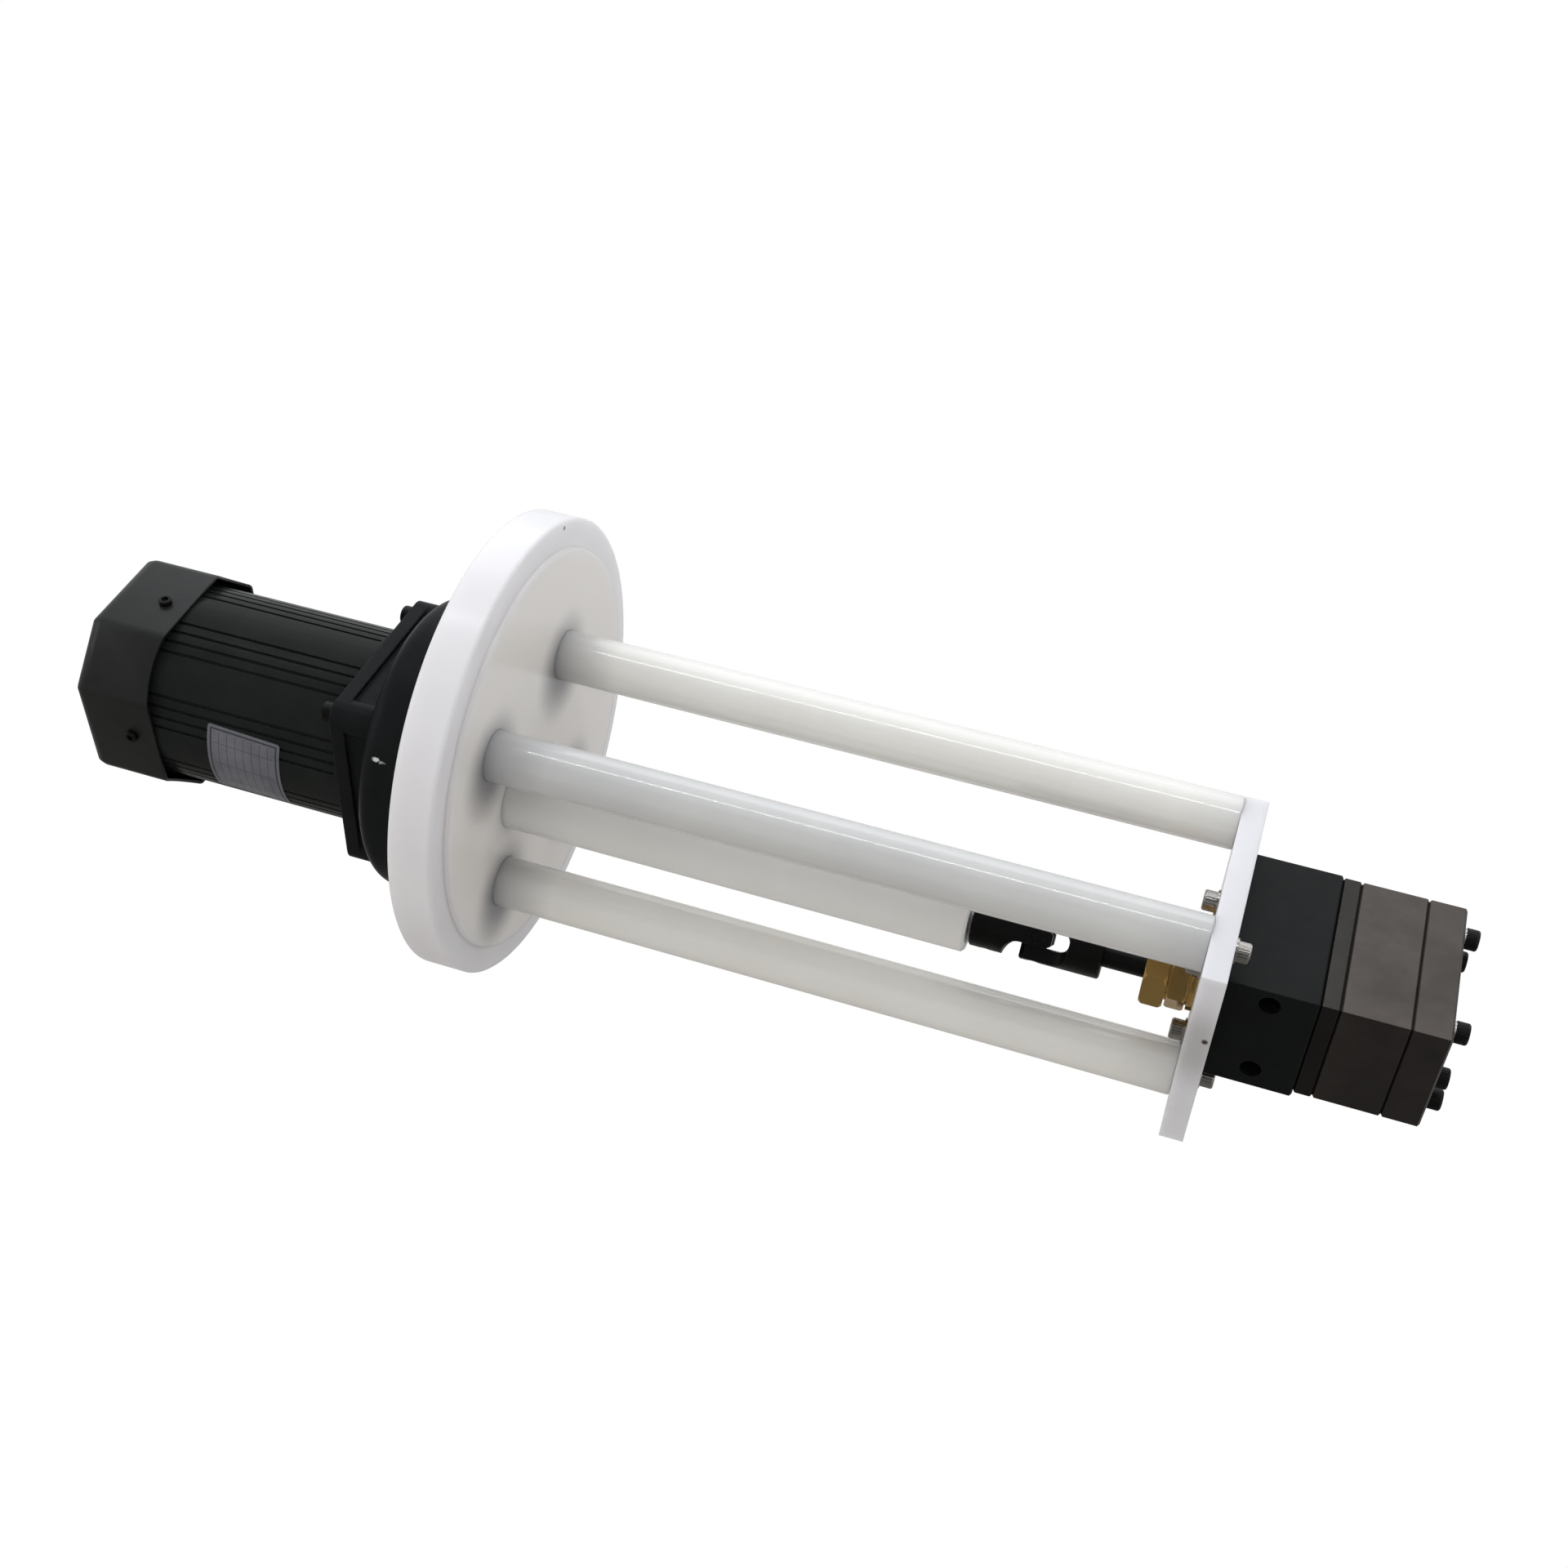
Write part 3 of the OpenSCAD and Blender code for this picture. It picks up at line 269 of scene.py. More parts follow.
# colour and tone are the two ends of the patches, patch and rub the scales of colour and gloss patches,
# and edge is the radius of the softened edges
hardBase = dict(metal=0.0, specular=0.5, patch=45.0, rub=140.0, stretch=(1.0, 1.0, 1.0), wear=0.0,
                wearAndGlintColour=(0.6, 0.6, 0.6), edge=0.0004)
metalBase = dict(hardBase, metal=1.0)
finishes = {
    "cover_black": dict(hardBase, colour=(0.0118, 0.0127, 0.0122), tone=(0.0156, 0.0166, 0.0160),
                        rough=(0.30, 0.40), specular=0.20, grainScale=1500, bump=0.03, wear=0.12,
                        wearAndGlintColour=(0.08, 0.08, 0.085), edge=0.0010),
    # its lighter edges are painted highlights along the ribs and grooves
    "motor_black": dict(hardBase, colour=(0.0120, 0.0140, 0.0132), tone=(0.0160, 0.0182, 0.0172),
                        rough=(0.24, 0.34), specular=0.05, grainScale=1300, bump=0.04, wear=0.45,
                        wearAndGlintColour=(0.055, 0.060, 0.060), edge=0.0005),
    "cast_black": dict(hardBase, colour=(0.0084, 0.0096, 0.0100), tone=(0.0122, 0.0128, 0.0138),
                       rough=(0.28, 0.40), specular=0.04, grainScale=700, bump=0.16, wear=0.25,
                       wearAndGlintColour=(0.06, 0.06, 0.07), edge=0.0016),
    # its lighter edges are painted glints on the heads
    "black_oxide": dict(hardBase, colour=(0.0026, 0.0030, 0.0028), tone=(0.0050, 0.0052, 0.0050),
                        rough=(0.26, 0.38), specular=0.12, grainScale=1600, bump=0.04, wear=0.6,
                        wearAndGlintColour=(0.10, 0.098, 0.095)),
    "block_black": dict(hardBase, colour=(0.0046, 0.0056, 0.0056), tone=(0.0068, 0.0078, 0.0080),
                        rough=(0.34, 0.42), specular=0.09, grainScale=1200, bump=0.05, wear=0.4,
                        wearAndGlintColour=(0.07, 0.07, 0.07), edge=0.0005),
    "stack_steel": dict(metalBase, colour=(0.054, 0.048, 0.044), tone=(0.086, 0.075, 0.070), rough=(0.30, 0.36),
                        patch=22.0, grainScale=700, stretch=(1.0, 1.0, 6.0), bump=0.015, wear=0.35,
                        wearAndGlintColour=(0.26, 0.24, 0.22)),
    "wear_steel": dict(metalBase, colour=(0.026, 0.0245, 0.0225), tone=(0.040, 0.037, 0.034), rough=(0.30, 0.38),
                       patch=22.0, grainScale=700, bump=0.015, wear=0.35, wearAndGlintColour=(0.2, 0.19, 0.18)),
    "steel": dict(metalBase, colour=(0.40, 0.41, 0.42), tone=(0.52, 0.53, 0.54), rough=(0.24, 0.38),
                  grainScale=420, stretch=(1.0, 1.0, 8.0), bump=0.05),
    "stainless": dict(metalBase, colour=(0.34, 0.32, 0.30), tone=(0.46, 0.44, 0.42), rough=(0.07, 0.13),
                      grainScale=900, bump=0.03, edge=0.0003),
    "brass": dict(metalBase, colour=(0.50, 0.31, 0.10), tone=(0.62, 0.41, 0.15), rough=(0.08, 0.14), patch=30.0,
                  grainScale=900, stretch=(1.0, 1.0, 6.0), bump=0.012, wear=0.4, wearAndGlintColour=(0.75, 0.56, 0.27),
                  edge=0.0005),
    "bronze": dict(metalBase, colour=(0.40, 0.25, 0.10), tone=(0.52, 0.34, 0.15), rough=(0.28, 0.4),
                   grainScale=500, bump=0.05),
    "copper": dict(metalBase, colour=(0.36, 0.12, 0.045), tone=(0.50, 0.20, 0.08), rough=(0.28, 0.4),
                   grainScale=160, stretch=(1.0, 1.0, 14.0), bump=0.5),
    "fan_plastic": dict(hardBase, colour=(0.020, 0.020, 0.022), tone=(0.032, 0.032, 0.035), rough=(0.45, 0.6),
                        specular=0.3, grainScale=1500, bump=0.06),
    "packing": dict(hardBase, colour=(0.62, 0.60, 0.55), tone=(0.72, 0.70, 0.66), rough=(0.5, 0.65),
                    specular=0.4, grainScale=600, bump=0.12),
}


def colour4(c):
    return (c[0], c[1], c[2], 1.0)


def startMaterial(name):
    material = bpy.data.materials.new(name)
    material.use_nodes = True
    tree = material.node_tree
    place = addNode(tree, "ShaderNodeTexCoord")
    return material, tree, tree.nodes["Principled BSDF"], place.outputs["Object"]


def addSpots(tree, place, base, spots):
    for s in spots:
        spot = useGroup(tree, "spot", place, {"Centre": s["at"], "Axes": s["axes"], "Inner": s["full"],
                                              "Outer": s["end"], "Ragged": s["ragged"]})
        base = mixColour(tree, spot.outputs["Mask"], base, colour4(s["colour"]))
    return base


def addRelief(tree, shader, place, edges, scale, stretch, strength):
    grain = useGroup(tree, "grain", place, {"Scale": scale, "Stretch": stretch})
    bump = addNode(tree, "ShaderNodeBump", {"Strength": strength, "Distance": reliefDepth})
    link(tree, grain.outputs["Height"], bump.inputs["Height"])
    link(tree, edges.outputs["Normal"], bump.inputs["Normal"])
    link(tree, bump.outputs["Normal"], shader.inputs["Normal"])


# paint, oxide and bare metals: tone patches, fine grain, worn edges, which on some finishes are painted
# highlights
def makeHardFinish(name, f, spots):
    material, tree, shader, place = startMaterial(name)
    patches = useGroup(tree, "mottle", place, {"Scale": f["patch"]})
    rub = useGroup(tree, "mottle", place, {"Scale": f["rub"], "Low": f["rough"][0], "High": f["rough"][1]})
    edges = useGroup(tree, "edgeWearAndGlint", place, {"Radius": f["edge"]})
    base = mixColour(tree, patches.outputs["Value"], colour4(f["colour"]), colour4(f["tone"]))
    base = addSpots(tree, place, base, spots)
    # lighter edges: real wear, and painted highlights on the finishes that use them so
    worn = mathNode(tree, "MULTIPLY", edges.outputs["Mask"], f["wear"], True)
    link(tree, mixColour(tree, worn, base, colour4(f["wearAndGlintColour"])), shader.inputs["Base Color"])
    link(tree, rub.outputs["Value"], shader.inputs["Roughness"])
    shader.inputs["Metallic"].default_value = f["metal"]
    shader.inputs["Specular IOR Level"].default_value = f["specular"]
    addRelief(tree, shader, place, edges, f["grainScale"], f["stretch"], f["bump"])
    return material


# milky plastic; rootShade is painted shade on rods and the tube where they meet the disc, and endFade darkens a
# rod at the end plate,
# where screws show through: two levels and a strength. rim is where the disc's edge starts to get rounder, where
# it ends, and its radius
milkyBase = dict(shadeAndScrewColour=(0.26, 0.26, 0.28), rough=(0.20, 0.24), specular=0.5, scatter=0.010,
                 scatterColour=(1.0, 0.95, 0.9), weight=0.6, ior=1.49, patch=14.0, rub=9.0, grainScale=500,
                 stretch=(1, 1, 1), bump=0.015, edge=0.0006)
milky = {
    "disc_plastic": dict(milkyBase, colour=(0.785, 0.775, 0.80), tone=(0.83, 0.82, 0.845),
                         rim=(0.096, 0.101, 0.0028)),
    "rod_plastic": dict(milkyBase, colour=(0.80, 0.79, 0.755), tone=(0.85, 0.845, 0.82), rough=(0.09, 0.12),
                        specular=0.9, rootShade=(-0.004, -0.034, 0.66), endFade=(0.006, 0.030, 0.12)),
    # a darker copy of rod_plastic for the rod nearest the camera: painted shade
    "shaded_near_rod": dict(milkyBase, colour=(0.60, 0.605, 0.61), tone=(0.66, 0.665, 0.655), rough=(0.09, 0.12),
                      specular=0.9, rootShade=(-0.004, -0.034, 0.62), endFade=(0.006, 0.030, 0.12)),
    "tube_plastic": dict(milkyBase, colour=(0.80, 0.785, 0.755), tone=(0.85, 0.84, 0.82), rough=(0.15, 0.19),
                         rootShade=(-0.004, -0.040, 0.25), endFade=(0.006, 0.030, 0.0)),
    "plate_plastic": dict(milkyBase, colour=(0.71, 0.71, 0.745), tone=(0.77, 0.77, 0.805), rough=(0.36, 0.44),
                          grainScale=260, stretch=(0.25, 0.25, 5.0), bump=0.25),
}


def makeMilky(name, m, spots):
    material, tree, shader, place = startMaterial(name)
    patches = useGroup(tree, "mottle", place, {"Scale": m["patch"]})
    base = mixColour(tree, patches.outputs["Value"], colour4(m["colour"]), colour4(m["tone"]))
    base = addSpots(tree, place, base, spots)
    if "rootShade" in m:
        split = addNode(tree, "ShaderNodeSeparateXYZ")
        link(tree, place, split.inputs["Vector"])
        # painted shade at the disc first, then the darkening where screws show through at the end plate
        for level, (near, far, strength) in ((0, m["rootShade"]), (plateHigh.z, m["endFade"])):
            fade = spread(tree, split.outputs["Z"], level + near, level + far, strength, 0.0)
            base = mixColour(tree, fade, base, colour4(m["shadeAndScrewColour"]))
    link(tree, base, shader.inputs["Base Color"])
    rub = useGroup(tree, "mottle", place, {"Scale": m["rub"], "Low": m["rough"][0], "High": m["rough"][1]})
    link(tree, rub.outputs["Value"], shader.inputs["Roughness"])
    shader.inputs["Subsurface Weight"].default_value = m["weight"]
    shader.inputs["Subsurface Radius"].default_value = m["scatterColour"]
    shader.inputs["Subsurface Scale"].default_value = m["scatter"]
    shader.inputs["IOR"].default_value = m["ior"]
    shader.inputs["Specular IOR Level"].default_value = m["specular"]
    edges = useGroup(tree, "edgeWearAndGlint", place, {"Radius": m["edge"]})
    if "rim" in m:
        near, far, radius = m["rim"]
        out = addNode(tree, "ShaderNodeVectorMath", operation="LENGTH")
        link(tree, place, out.inputs[0])
        link(tree, spread(tree, out.outputs["Value"], near, far, m["edge"], radius), edges.inputs["Radius"])
    addRelief(tree, shader, place, edges, m["grainScale"], m["stretch"], m["bump"])
    return material


def nodeMiddle(name):
    low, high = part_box(name)
    return (low + high) / 2


ball, column = (1.0, 1.0, 1.0), (1.0, 1.0, 0.0)
# the rods' painted shadows on the disc face are moved this far away from the key light
rodShadowShift = acrossView * 6 * mm  # the halos hang a little below the rods in the picture
plateLow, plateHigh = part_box("end_plate")
plateEdge = Vector((0, plateLow.y, (plateLow.z + plateHigh.z) / 2 - 3 * mm))

# marks on a finish, some of them painted light and shade, in metres: where they are full, where they end and how
# ragged that edge is
spotsOf = {
    # painted warm light on the face that the rim doesn't get, painted shadows of the rods on the face below their
    # roots, and a dark speck
    "disc_plastic": [
        # painted warm light over the face
        dict(at=Vector((0, 0, 0)), axes=column, full=0.096, end=0.110, ragged=0.0, colour=(0.83, 0.80, 0.77)),
        # painted shadows of the rods on the face
        *(dict(at=nodeMiddle(rod) - rodShadowShift, axes=column, full=0.008, end=0.034, ragged=0.0,
               colour=(0.30, 0.295, 0.30)) for rod in rods),
        dict(at=Vector((0.1056, 0.0447, 0)), axes=ball, full=0.0004, end=0.0016, ragged=0.0006,
             colour=(0.03, 0.03, 0.03)),
    ],
    # painted shade from the dark block behind, and a dark speck on the edge
    "plate_plastic": [
        dict(at=plateEdge + Vector((0.004, 0, 0)), axes=column, full=0.006, end=0.034, ragged=0.0,
             colour=(0.50, 0.495, 0.50)),
        dict(at=plateEdge + Vector((0.008, 0, 0)), axes=ball, full=0.0008, end=0.0020, ragged=0.0006,
             colour=(0.04, 0.04, 0.04)),
    ],
    # a small chip in the paint, and its tail
    "chipped_black": [
        dict(at=Vector((0.0338, -0.0711, 0.0494)), axes=(1.0, 1.0, 0.55), full=0.0005, end=0.0014, ragged=0.0012,
             colour=(0.62, 0.62, 0.62)),
        dict(at=Vector((0.0330, -0.0715, 0.0462)), axes=(1.0, 1.0, 0.40), full=0.0002, end=0.0009, ragged=0.0014,
             colour=(0.30, 0.30, 0.30)),
    ],
}
finishes["chipped_black"] = finishes["cast_black"]
materials = {name: makeHardFinish(name, f, spotsOf.get(name, ())) for name, f in finishes.items()}
materials.update({name: makeMilky(name, m, spotsOf.get(name, ())) for name, m in milky.items()})
print("finishes made:", len(materials))


# rating plate: bare foil with a border and empty ruled cells, on the plate's own flat map
plate = {
    "foil": (0.135, 0.140, 0.165),
    "tone": (0.205, 0.210, 0.240),
    "ink": (0.03, 0.03, 0.045),
    "border": 1.9 * mm,
    "line": 0.45 * mm,
    "cells": (13.0 * mm, 4.6 * mm),
    "from": -121.5,  # degrees round the housing
    "to": -70.0,
    "length": 40.5 * mm,
    "drop": 5.6 * mm,
    "skew": -3.0,  # degrees
    "thickness": 0.4 * mm,
    "corner": 1.4 * mm,
    "facets": 28,
    "inset": 1.7,  # the rules end this many borders from the edge
    "ruleShade": 0.6,
    "inkShade": 0.85,
    "patch": 60.0,
    "rub": 200.0,
    "rough": (0.32, 0.45),
    "metal": 0.3,
}


def makeLabel(p):
    material, tree, shader, place = startMaterial("label")
    patches = useGroup(tree, "mottle", place, {"Scale": p["patch"]})
    base = mixColour(tree, patches.outputs["Value"], colour4(p["foil"]), colour4(p["tone"]))
    flat = addNode(tree, "ShaderNodeUVMap", uv_map="flat")
    split = addNode(tree, "ShaderNodeSeparateXYZ")
    link(tree, flat.outputs["UV"], split.inputs["Vector"])
    x, y = split.outputs["X"], split.outputs["Y"]
    arc = math.radians(p["to"] - p["from"]) * housingRadius
    acrossRim = mathNode(tree, "SUBTRACT", arc / 2, mathNode(tree, "ABSOLUTE", x, 0.0))
    alongRim = mathNode(tree, "SUBTRACT", p["length"] / 2, mathNode(tree, "ABSOLUTE", y, 0.0))
    rim = mathNode(tree, "MINIMUM", acrossRim, alongRim)
    ring = mathNode(tree, "COMPARE", rim, p["border"])
    ring.node.inputs[2].default_value = p["line"]
    rules = [mathNode(tree, "LESS_THAN", mathNode(tree, "PINGPONG", way, step / 2), p["line"] / 2)
             for way, step in ((x, p["cells"][0]), (y, p["cells"][1]))]
    inside = mathNode(tree, "GREATER_THAN", rim, p["border"] * p["inset"])
    ruled = mathNode(tree, "MULTIPLY", mathNode(tree, "MAXIMUM", *rules), inside)
    inked = mathNode(tree, "MAXIMUM", ring, mathNode(tree, "MULTIPLY", ruled, p["ruleShade"]))
    base = mixColour(tree, mathNode(tree, "MULTIPLY", inked, p["inkShade"]), base, colour4(p["ink"]))
    link(tree, base, shader.inputs["Base Color"])
    shader.inputs["Metallic"].default_value = p["metal"]
    rub = useGroup(tree, "mottle", place, {"Scale": p["rub"], "Low": p["rough"][0], "High": p["rough"][1]})
    link(tree, rub.outputs["Value"], shader.inputs["Roughness"])
    return material


housingRadius = (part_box("stator_housing")[1].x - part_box("stator_housing")[0].x) / 2
materials["label"] = makeLabel(plate)

# pieces that wear another finish than their slot's; the rod nearest the camera gets a darker copy of the rod
# plastic, which is painted shade
dressing = {
    "mounting_disc": "disc_plastic",
    "adapter_flange": "chipped_black",
    "wear_plate": "wear_steel",
    "joint_cross": "black_oxide",
    "sleeve_tube": "tube_plastic",
    **dict.fromkeys(rods, "rod_plastic"),
    # the rod nearest the camera takes the darker copy, as painted shade
    max(rods, key=lambda rod: nodeMiddle(rod).dot(toCamera)): "shaded_near_rod",
}
for name, slot in slotOf.items():
    slots = nodes[name].data.materials
    slots.clear()
    slots.append(materials[dressing.get(name, slot)])
print("nodes dressed")


# M6 knurled socket screws; corners of the node's box that carry a head, and one that carries a sunk stud
shankRadius, headRadius, headHeight, studSunk = 3 * mm, 5 * mm, 6 * mm, 2.2 * mm
shankFacets, cornerFacets = 32, 4
screws = {
    "case_screws": dict(up=True, corners=((1, -1), (1, 1), (-1, 1)), stud=(-1, -1)),
    "plate_screws": dict(up=True, corners=((1, -1), (1, 1), (-1, 1), (-1, -1))),
    "rod_screws": dict(up=False, corners=((1, -1), (-1, -1), (-1, 1)), stud=(1, 1)),
    "cover_screws": dict(up=False, corners=((1, -1), (1, 1), (-1, 1), (-1, -1))),
    "jack_screws": dict(up=False, corners=((-1, -1), (1, 1))),
}
headShape = {
    "knurls": 30,
    "knurlDepth": 0.035,  # these are shares of the head's radius
    "rim": 0.965,
    "top": 0.87,
    "socket": 0.48,
    "lip": 1.06,  # the socket's mouth and the drilled floor, as shares of the socket
    "floor": 0.3,
    "bevel": 0.075,  # and these of its height
    "lipDepth": 0.04,
    "socketDepth": 0.55,
    "floorDepth": 0.06,
}


def hexRadius(angle, apothem):
    step = math.pi / 3
    return apothem / math.cos((angle + step / 2) % step - step / 2)


# pulls a face out along z and gives back the new end face
def raiseFace(bm, face, height):
    out = bmesh.ops.extrude_face_region(bm, geom=[face])["geom"]
    bmesh.ops.translate(bm, verts=[g for g in out if isinstance(g, bmesh.types.BMVert)], vec=(0, 0, height))
    return next(g for g in out if isinstance(g, bmesh.types.BMFace))


def reshapeFace(face, radiusAt):
    for v in face.verts:
        angle = math.atan2(v.co.y, v.co.x)
        v.co.xy = radiusAt(angle) * Vector((math.cos(angle), math.sin(angle)))


# one head on z = 0, its rim softened and its hexagon socket sunk in the top
def addHead(bm, h):
    radius, height, count = headRadius, headHeight, h["knurls"] * 2
    base = bmesh.ops.create_circle(bm, cap_ends=True, segments=count, radius=radius)["verts"]
    for v in base:
        if round(math.atan2(v.co.y, v.co.x) / math.tau * count) % 2:
            v.co.xy *= 1 - h["knurlDepth"]
    socket = radius * h["socket"]
    face = raiseFace(bm, base[0].link_faces[0], height * (1 - 2 * h["bevel"]))
    for rise, radiusAt in (
        (height * h["bevel"], lambda a: radius * h["rim"]),
        (height * h["bevel"], lambda a: radius * h["top"]),
        (0, lambda a: hexRadius(a, socket * h["lip"])),
        (-height * h["lipDepth"], lambda a: hexRadius(a, socket)),
        (-height * h["socketDepth"], lambda a: hexRadius(a, socket)),
        (-height * h["floorDepth"], lambda a: socket * h["floor"]),
    ):
        face = raiseFace(bm, face, rise)
        reshapeFace(face, radiusAt)


def addShank(bm, low, high):
    bar = bmesh.ops.create_cone(bm, cap_ends=True, segments=shankFacets, radius1=shankRadius, radius2=shankRadius,
                                depth=high - low)
    bmesh.ops.translate(bm, verts=bar["verts"], vec=(0, 0, (low + high) / 2))


def newObject(name, bm):
    bmesh.ops.recalc_face_normals(bm, faces=bm.faces)
    data = bpy.data.meshes.new(name)
    bm.to_mesh(data)
    bm.free()
    made = bpy.data.objects.new(name, data)
    bpy.context.scene.collection.objects.link(made)
    return made


# the piece takes the place of a node, with its slot and its body
def finishPiece(piece, material, node, smoothAngle=35):
    piece.data.materials.append(material)
    for polygon in piece.data.polygons:
        polygon.use_smooth = True
    piece.data.set_sharp_from_angle(angle=math.radians(smoothAngle))
    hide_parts(node)
    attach(piece, bodyOf[node])


def makeScrews(node, s):
    low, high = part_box(node)
    length = high.z - low.z - headHeight
    flip = Matrix() if s["up"] else Matrix.Rotation(math.pi, 4, "X")
    seat = high.z - headHeight if s["up"] else low.z + headHeight
    bm = bmesh.new()
    for corner in s["corners"] + ((s["stud"],) if "stud" in s else ()):
        before = set(bm.verts)
        if corner == s.get("stud"):
            addShank(bm, -length, -studSunk)
        else:
            addHead(bm, headShape)
            addShank(bm, -length, 0)
        fresh = [v for v in bm.verts if v not in before]
        x = high.x - headRadius if corner[0] > 0 else low.x + headRadius
        y = high.y - headRadius if corner[1] > 0 else low.y + headRadius
        bmesh.ops.transform(bm, matrix=Matrix.Translation((x, y, seat)) @ flip, verts=fresh)
    finishPiece(newObject(node + ".knurled", bm), materials[slotOf[node]], node)


for node, s in screws.items():
    makeScrews(node, s)
print("screws made:", len(screws), "sets")


# the plate is cut flat, mapped, turned a little and bent round the housing
def makeRatingPlate(p, node="nameplate"):
    low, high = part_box(node)
    axis = nodeMiddle("stator_housing")
    arc = math.radians(p["to"] - p["from"]) * housingRadius
    bm = bmesh.new()
    bmesh.ops.create_grid(bm, x_segments=p["facets"], y_segments=1, size=0.5)
    bmesh.ops.scale(bm, verts=bm.verts, vec=(arc, p["length"], 1))
    corners = [v for v in bm.verts if len(v.link_edges) == 2]
    bmesh.ops.bevel(bm, geom=corners, affect="VERTICES", offset=p["corner"], segments=cornerFacets, profile=0.5,
                     material=-1)
    flat = bm.loops.layers.uv.new("flat")
    for face in bm.faces:
        for loop in face.loops:
            loop[flat].uv = loop.vert.co.xy
    bmesh.ops.rotate(bm, verts=bm.verts, matrix=Matrix.Rotation(math.radians(p["skew"]), 3, "Z"))
    bmesh.ops.solidify(bm, geom=bm.faces, thickness=-p["thickness"])
    middle = math.radians(p["from"] + p["to"]) / 2
    for v in bm.verts:
        angle, radius = middle + v.co.x / housingRadius, housingRadius + abs(v.co.z)
        height = (low.z + high.z) / 2 - p["drop"] + v.co.y
        v.co = (axis.x + radius * math.cos(angle), axis.y + radius * math.sin(angle), height)
    finishPiece(newObject("nameplate.bent", bm), materials["label"], node)


makeRatingPlate(plate)
print("rating plate made")


fanCover = {
    "chamfer": 26.5 * mm,
    "sheet": 1.5 * mm,
    "endRadius": 7.5 * mm,
    "endFacets": 8,
    "crease": 0.28,  # share of the end radius that rounds the long creases
    "smoothAngle": 30,
    "arch": 2.6 * mm,  # how far the open edge is cut back on each chamfer
    "turn": -3.0,
    "flatShare": 0.48,  # half a flat side as a share of half the width
    "slots": 16,
    "slotWidth": 3.2 * mm,
    "slotCorner": 0.49,  # share of the width, so that the ends are round
    "outerSlot": (24.2 * mm, 38.2 * mm),
    "innerSlot": (10.0 * mm, 17.0 * mm),
    "slotDepth": 8.0 * mm,  # these are the cutters' sizes, which go right through the sheet
    "archDepth": 30.0 * mm,
    "archFacets": 192,
    "archPlace": 0.95,  # share of half the width
}


# a bar with round ends, from start to end along a radius
def addSlot(bm, c, start, end, angle):
    width, depth = c["slotWidth"], c["slotDepth"]
    made = bmesh.ops.create_cube(bm, size=1)["verts"]
    bmesh.ops.scale(bm, verts=made, vec=(end - start + width, width, depth))
    edges = {e for v in made for e in v.link_edges}
    upright = [e for e in edges if abs(e.verts[0].co.z - e.verts[1].co.z) > depth / 2]
    out = bmesh.ops.bevel(bm, geom=upright, affect="EDGES", offset=width * c["slotCorner"], segments=cornerFacets,
                          profile=0.5, material=-1)
    verts = set(out["verts"]) | {v for v in made if v.is_valid}
    turn = Matrix.Rotation(angle, 4, "Z") @ Matrix.Translation(((start + end) / 2, 0, 0))
    bmesh.ops.transform(bm, matrix=turn, verts=list(verts))


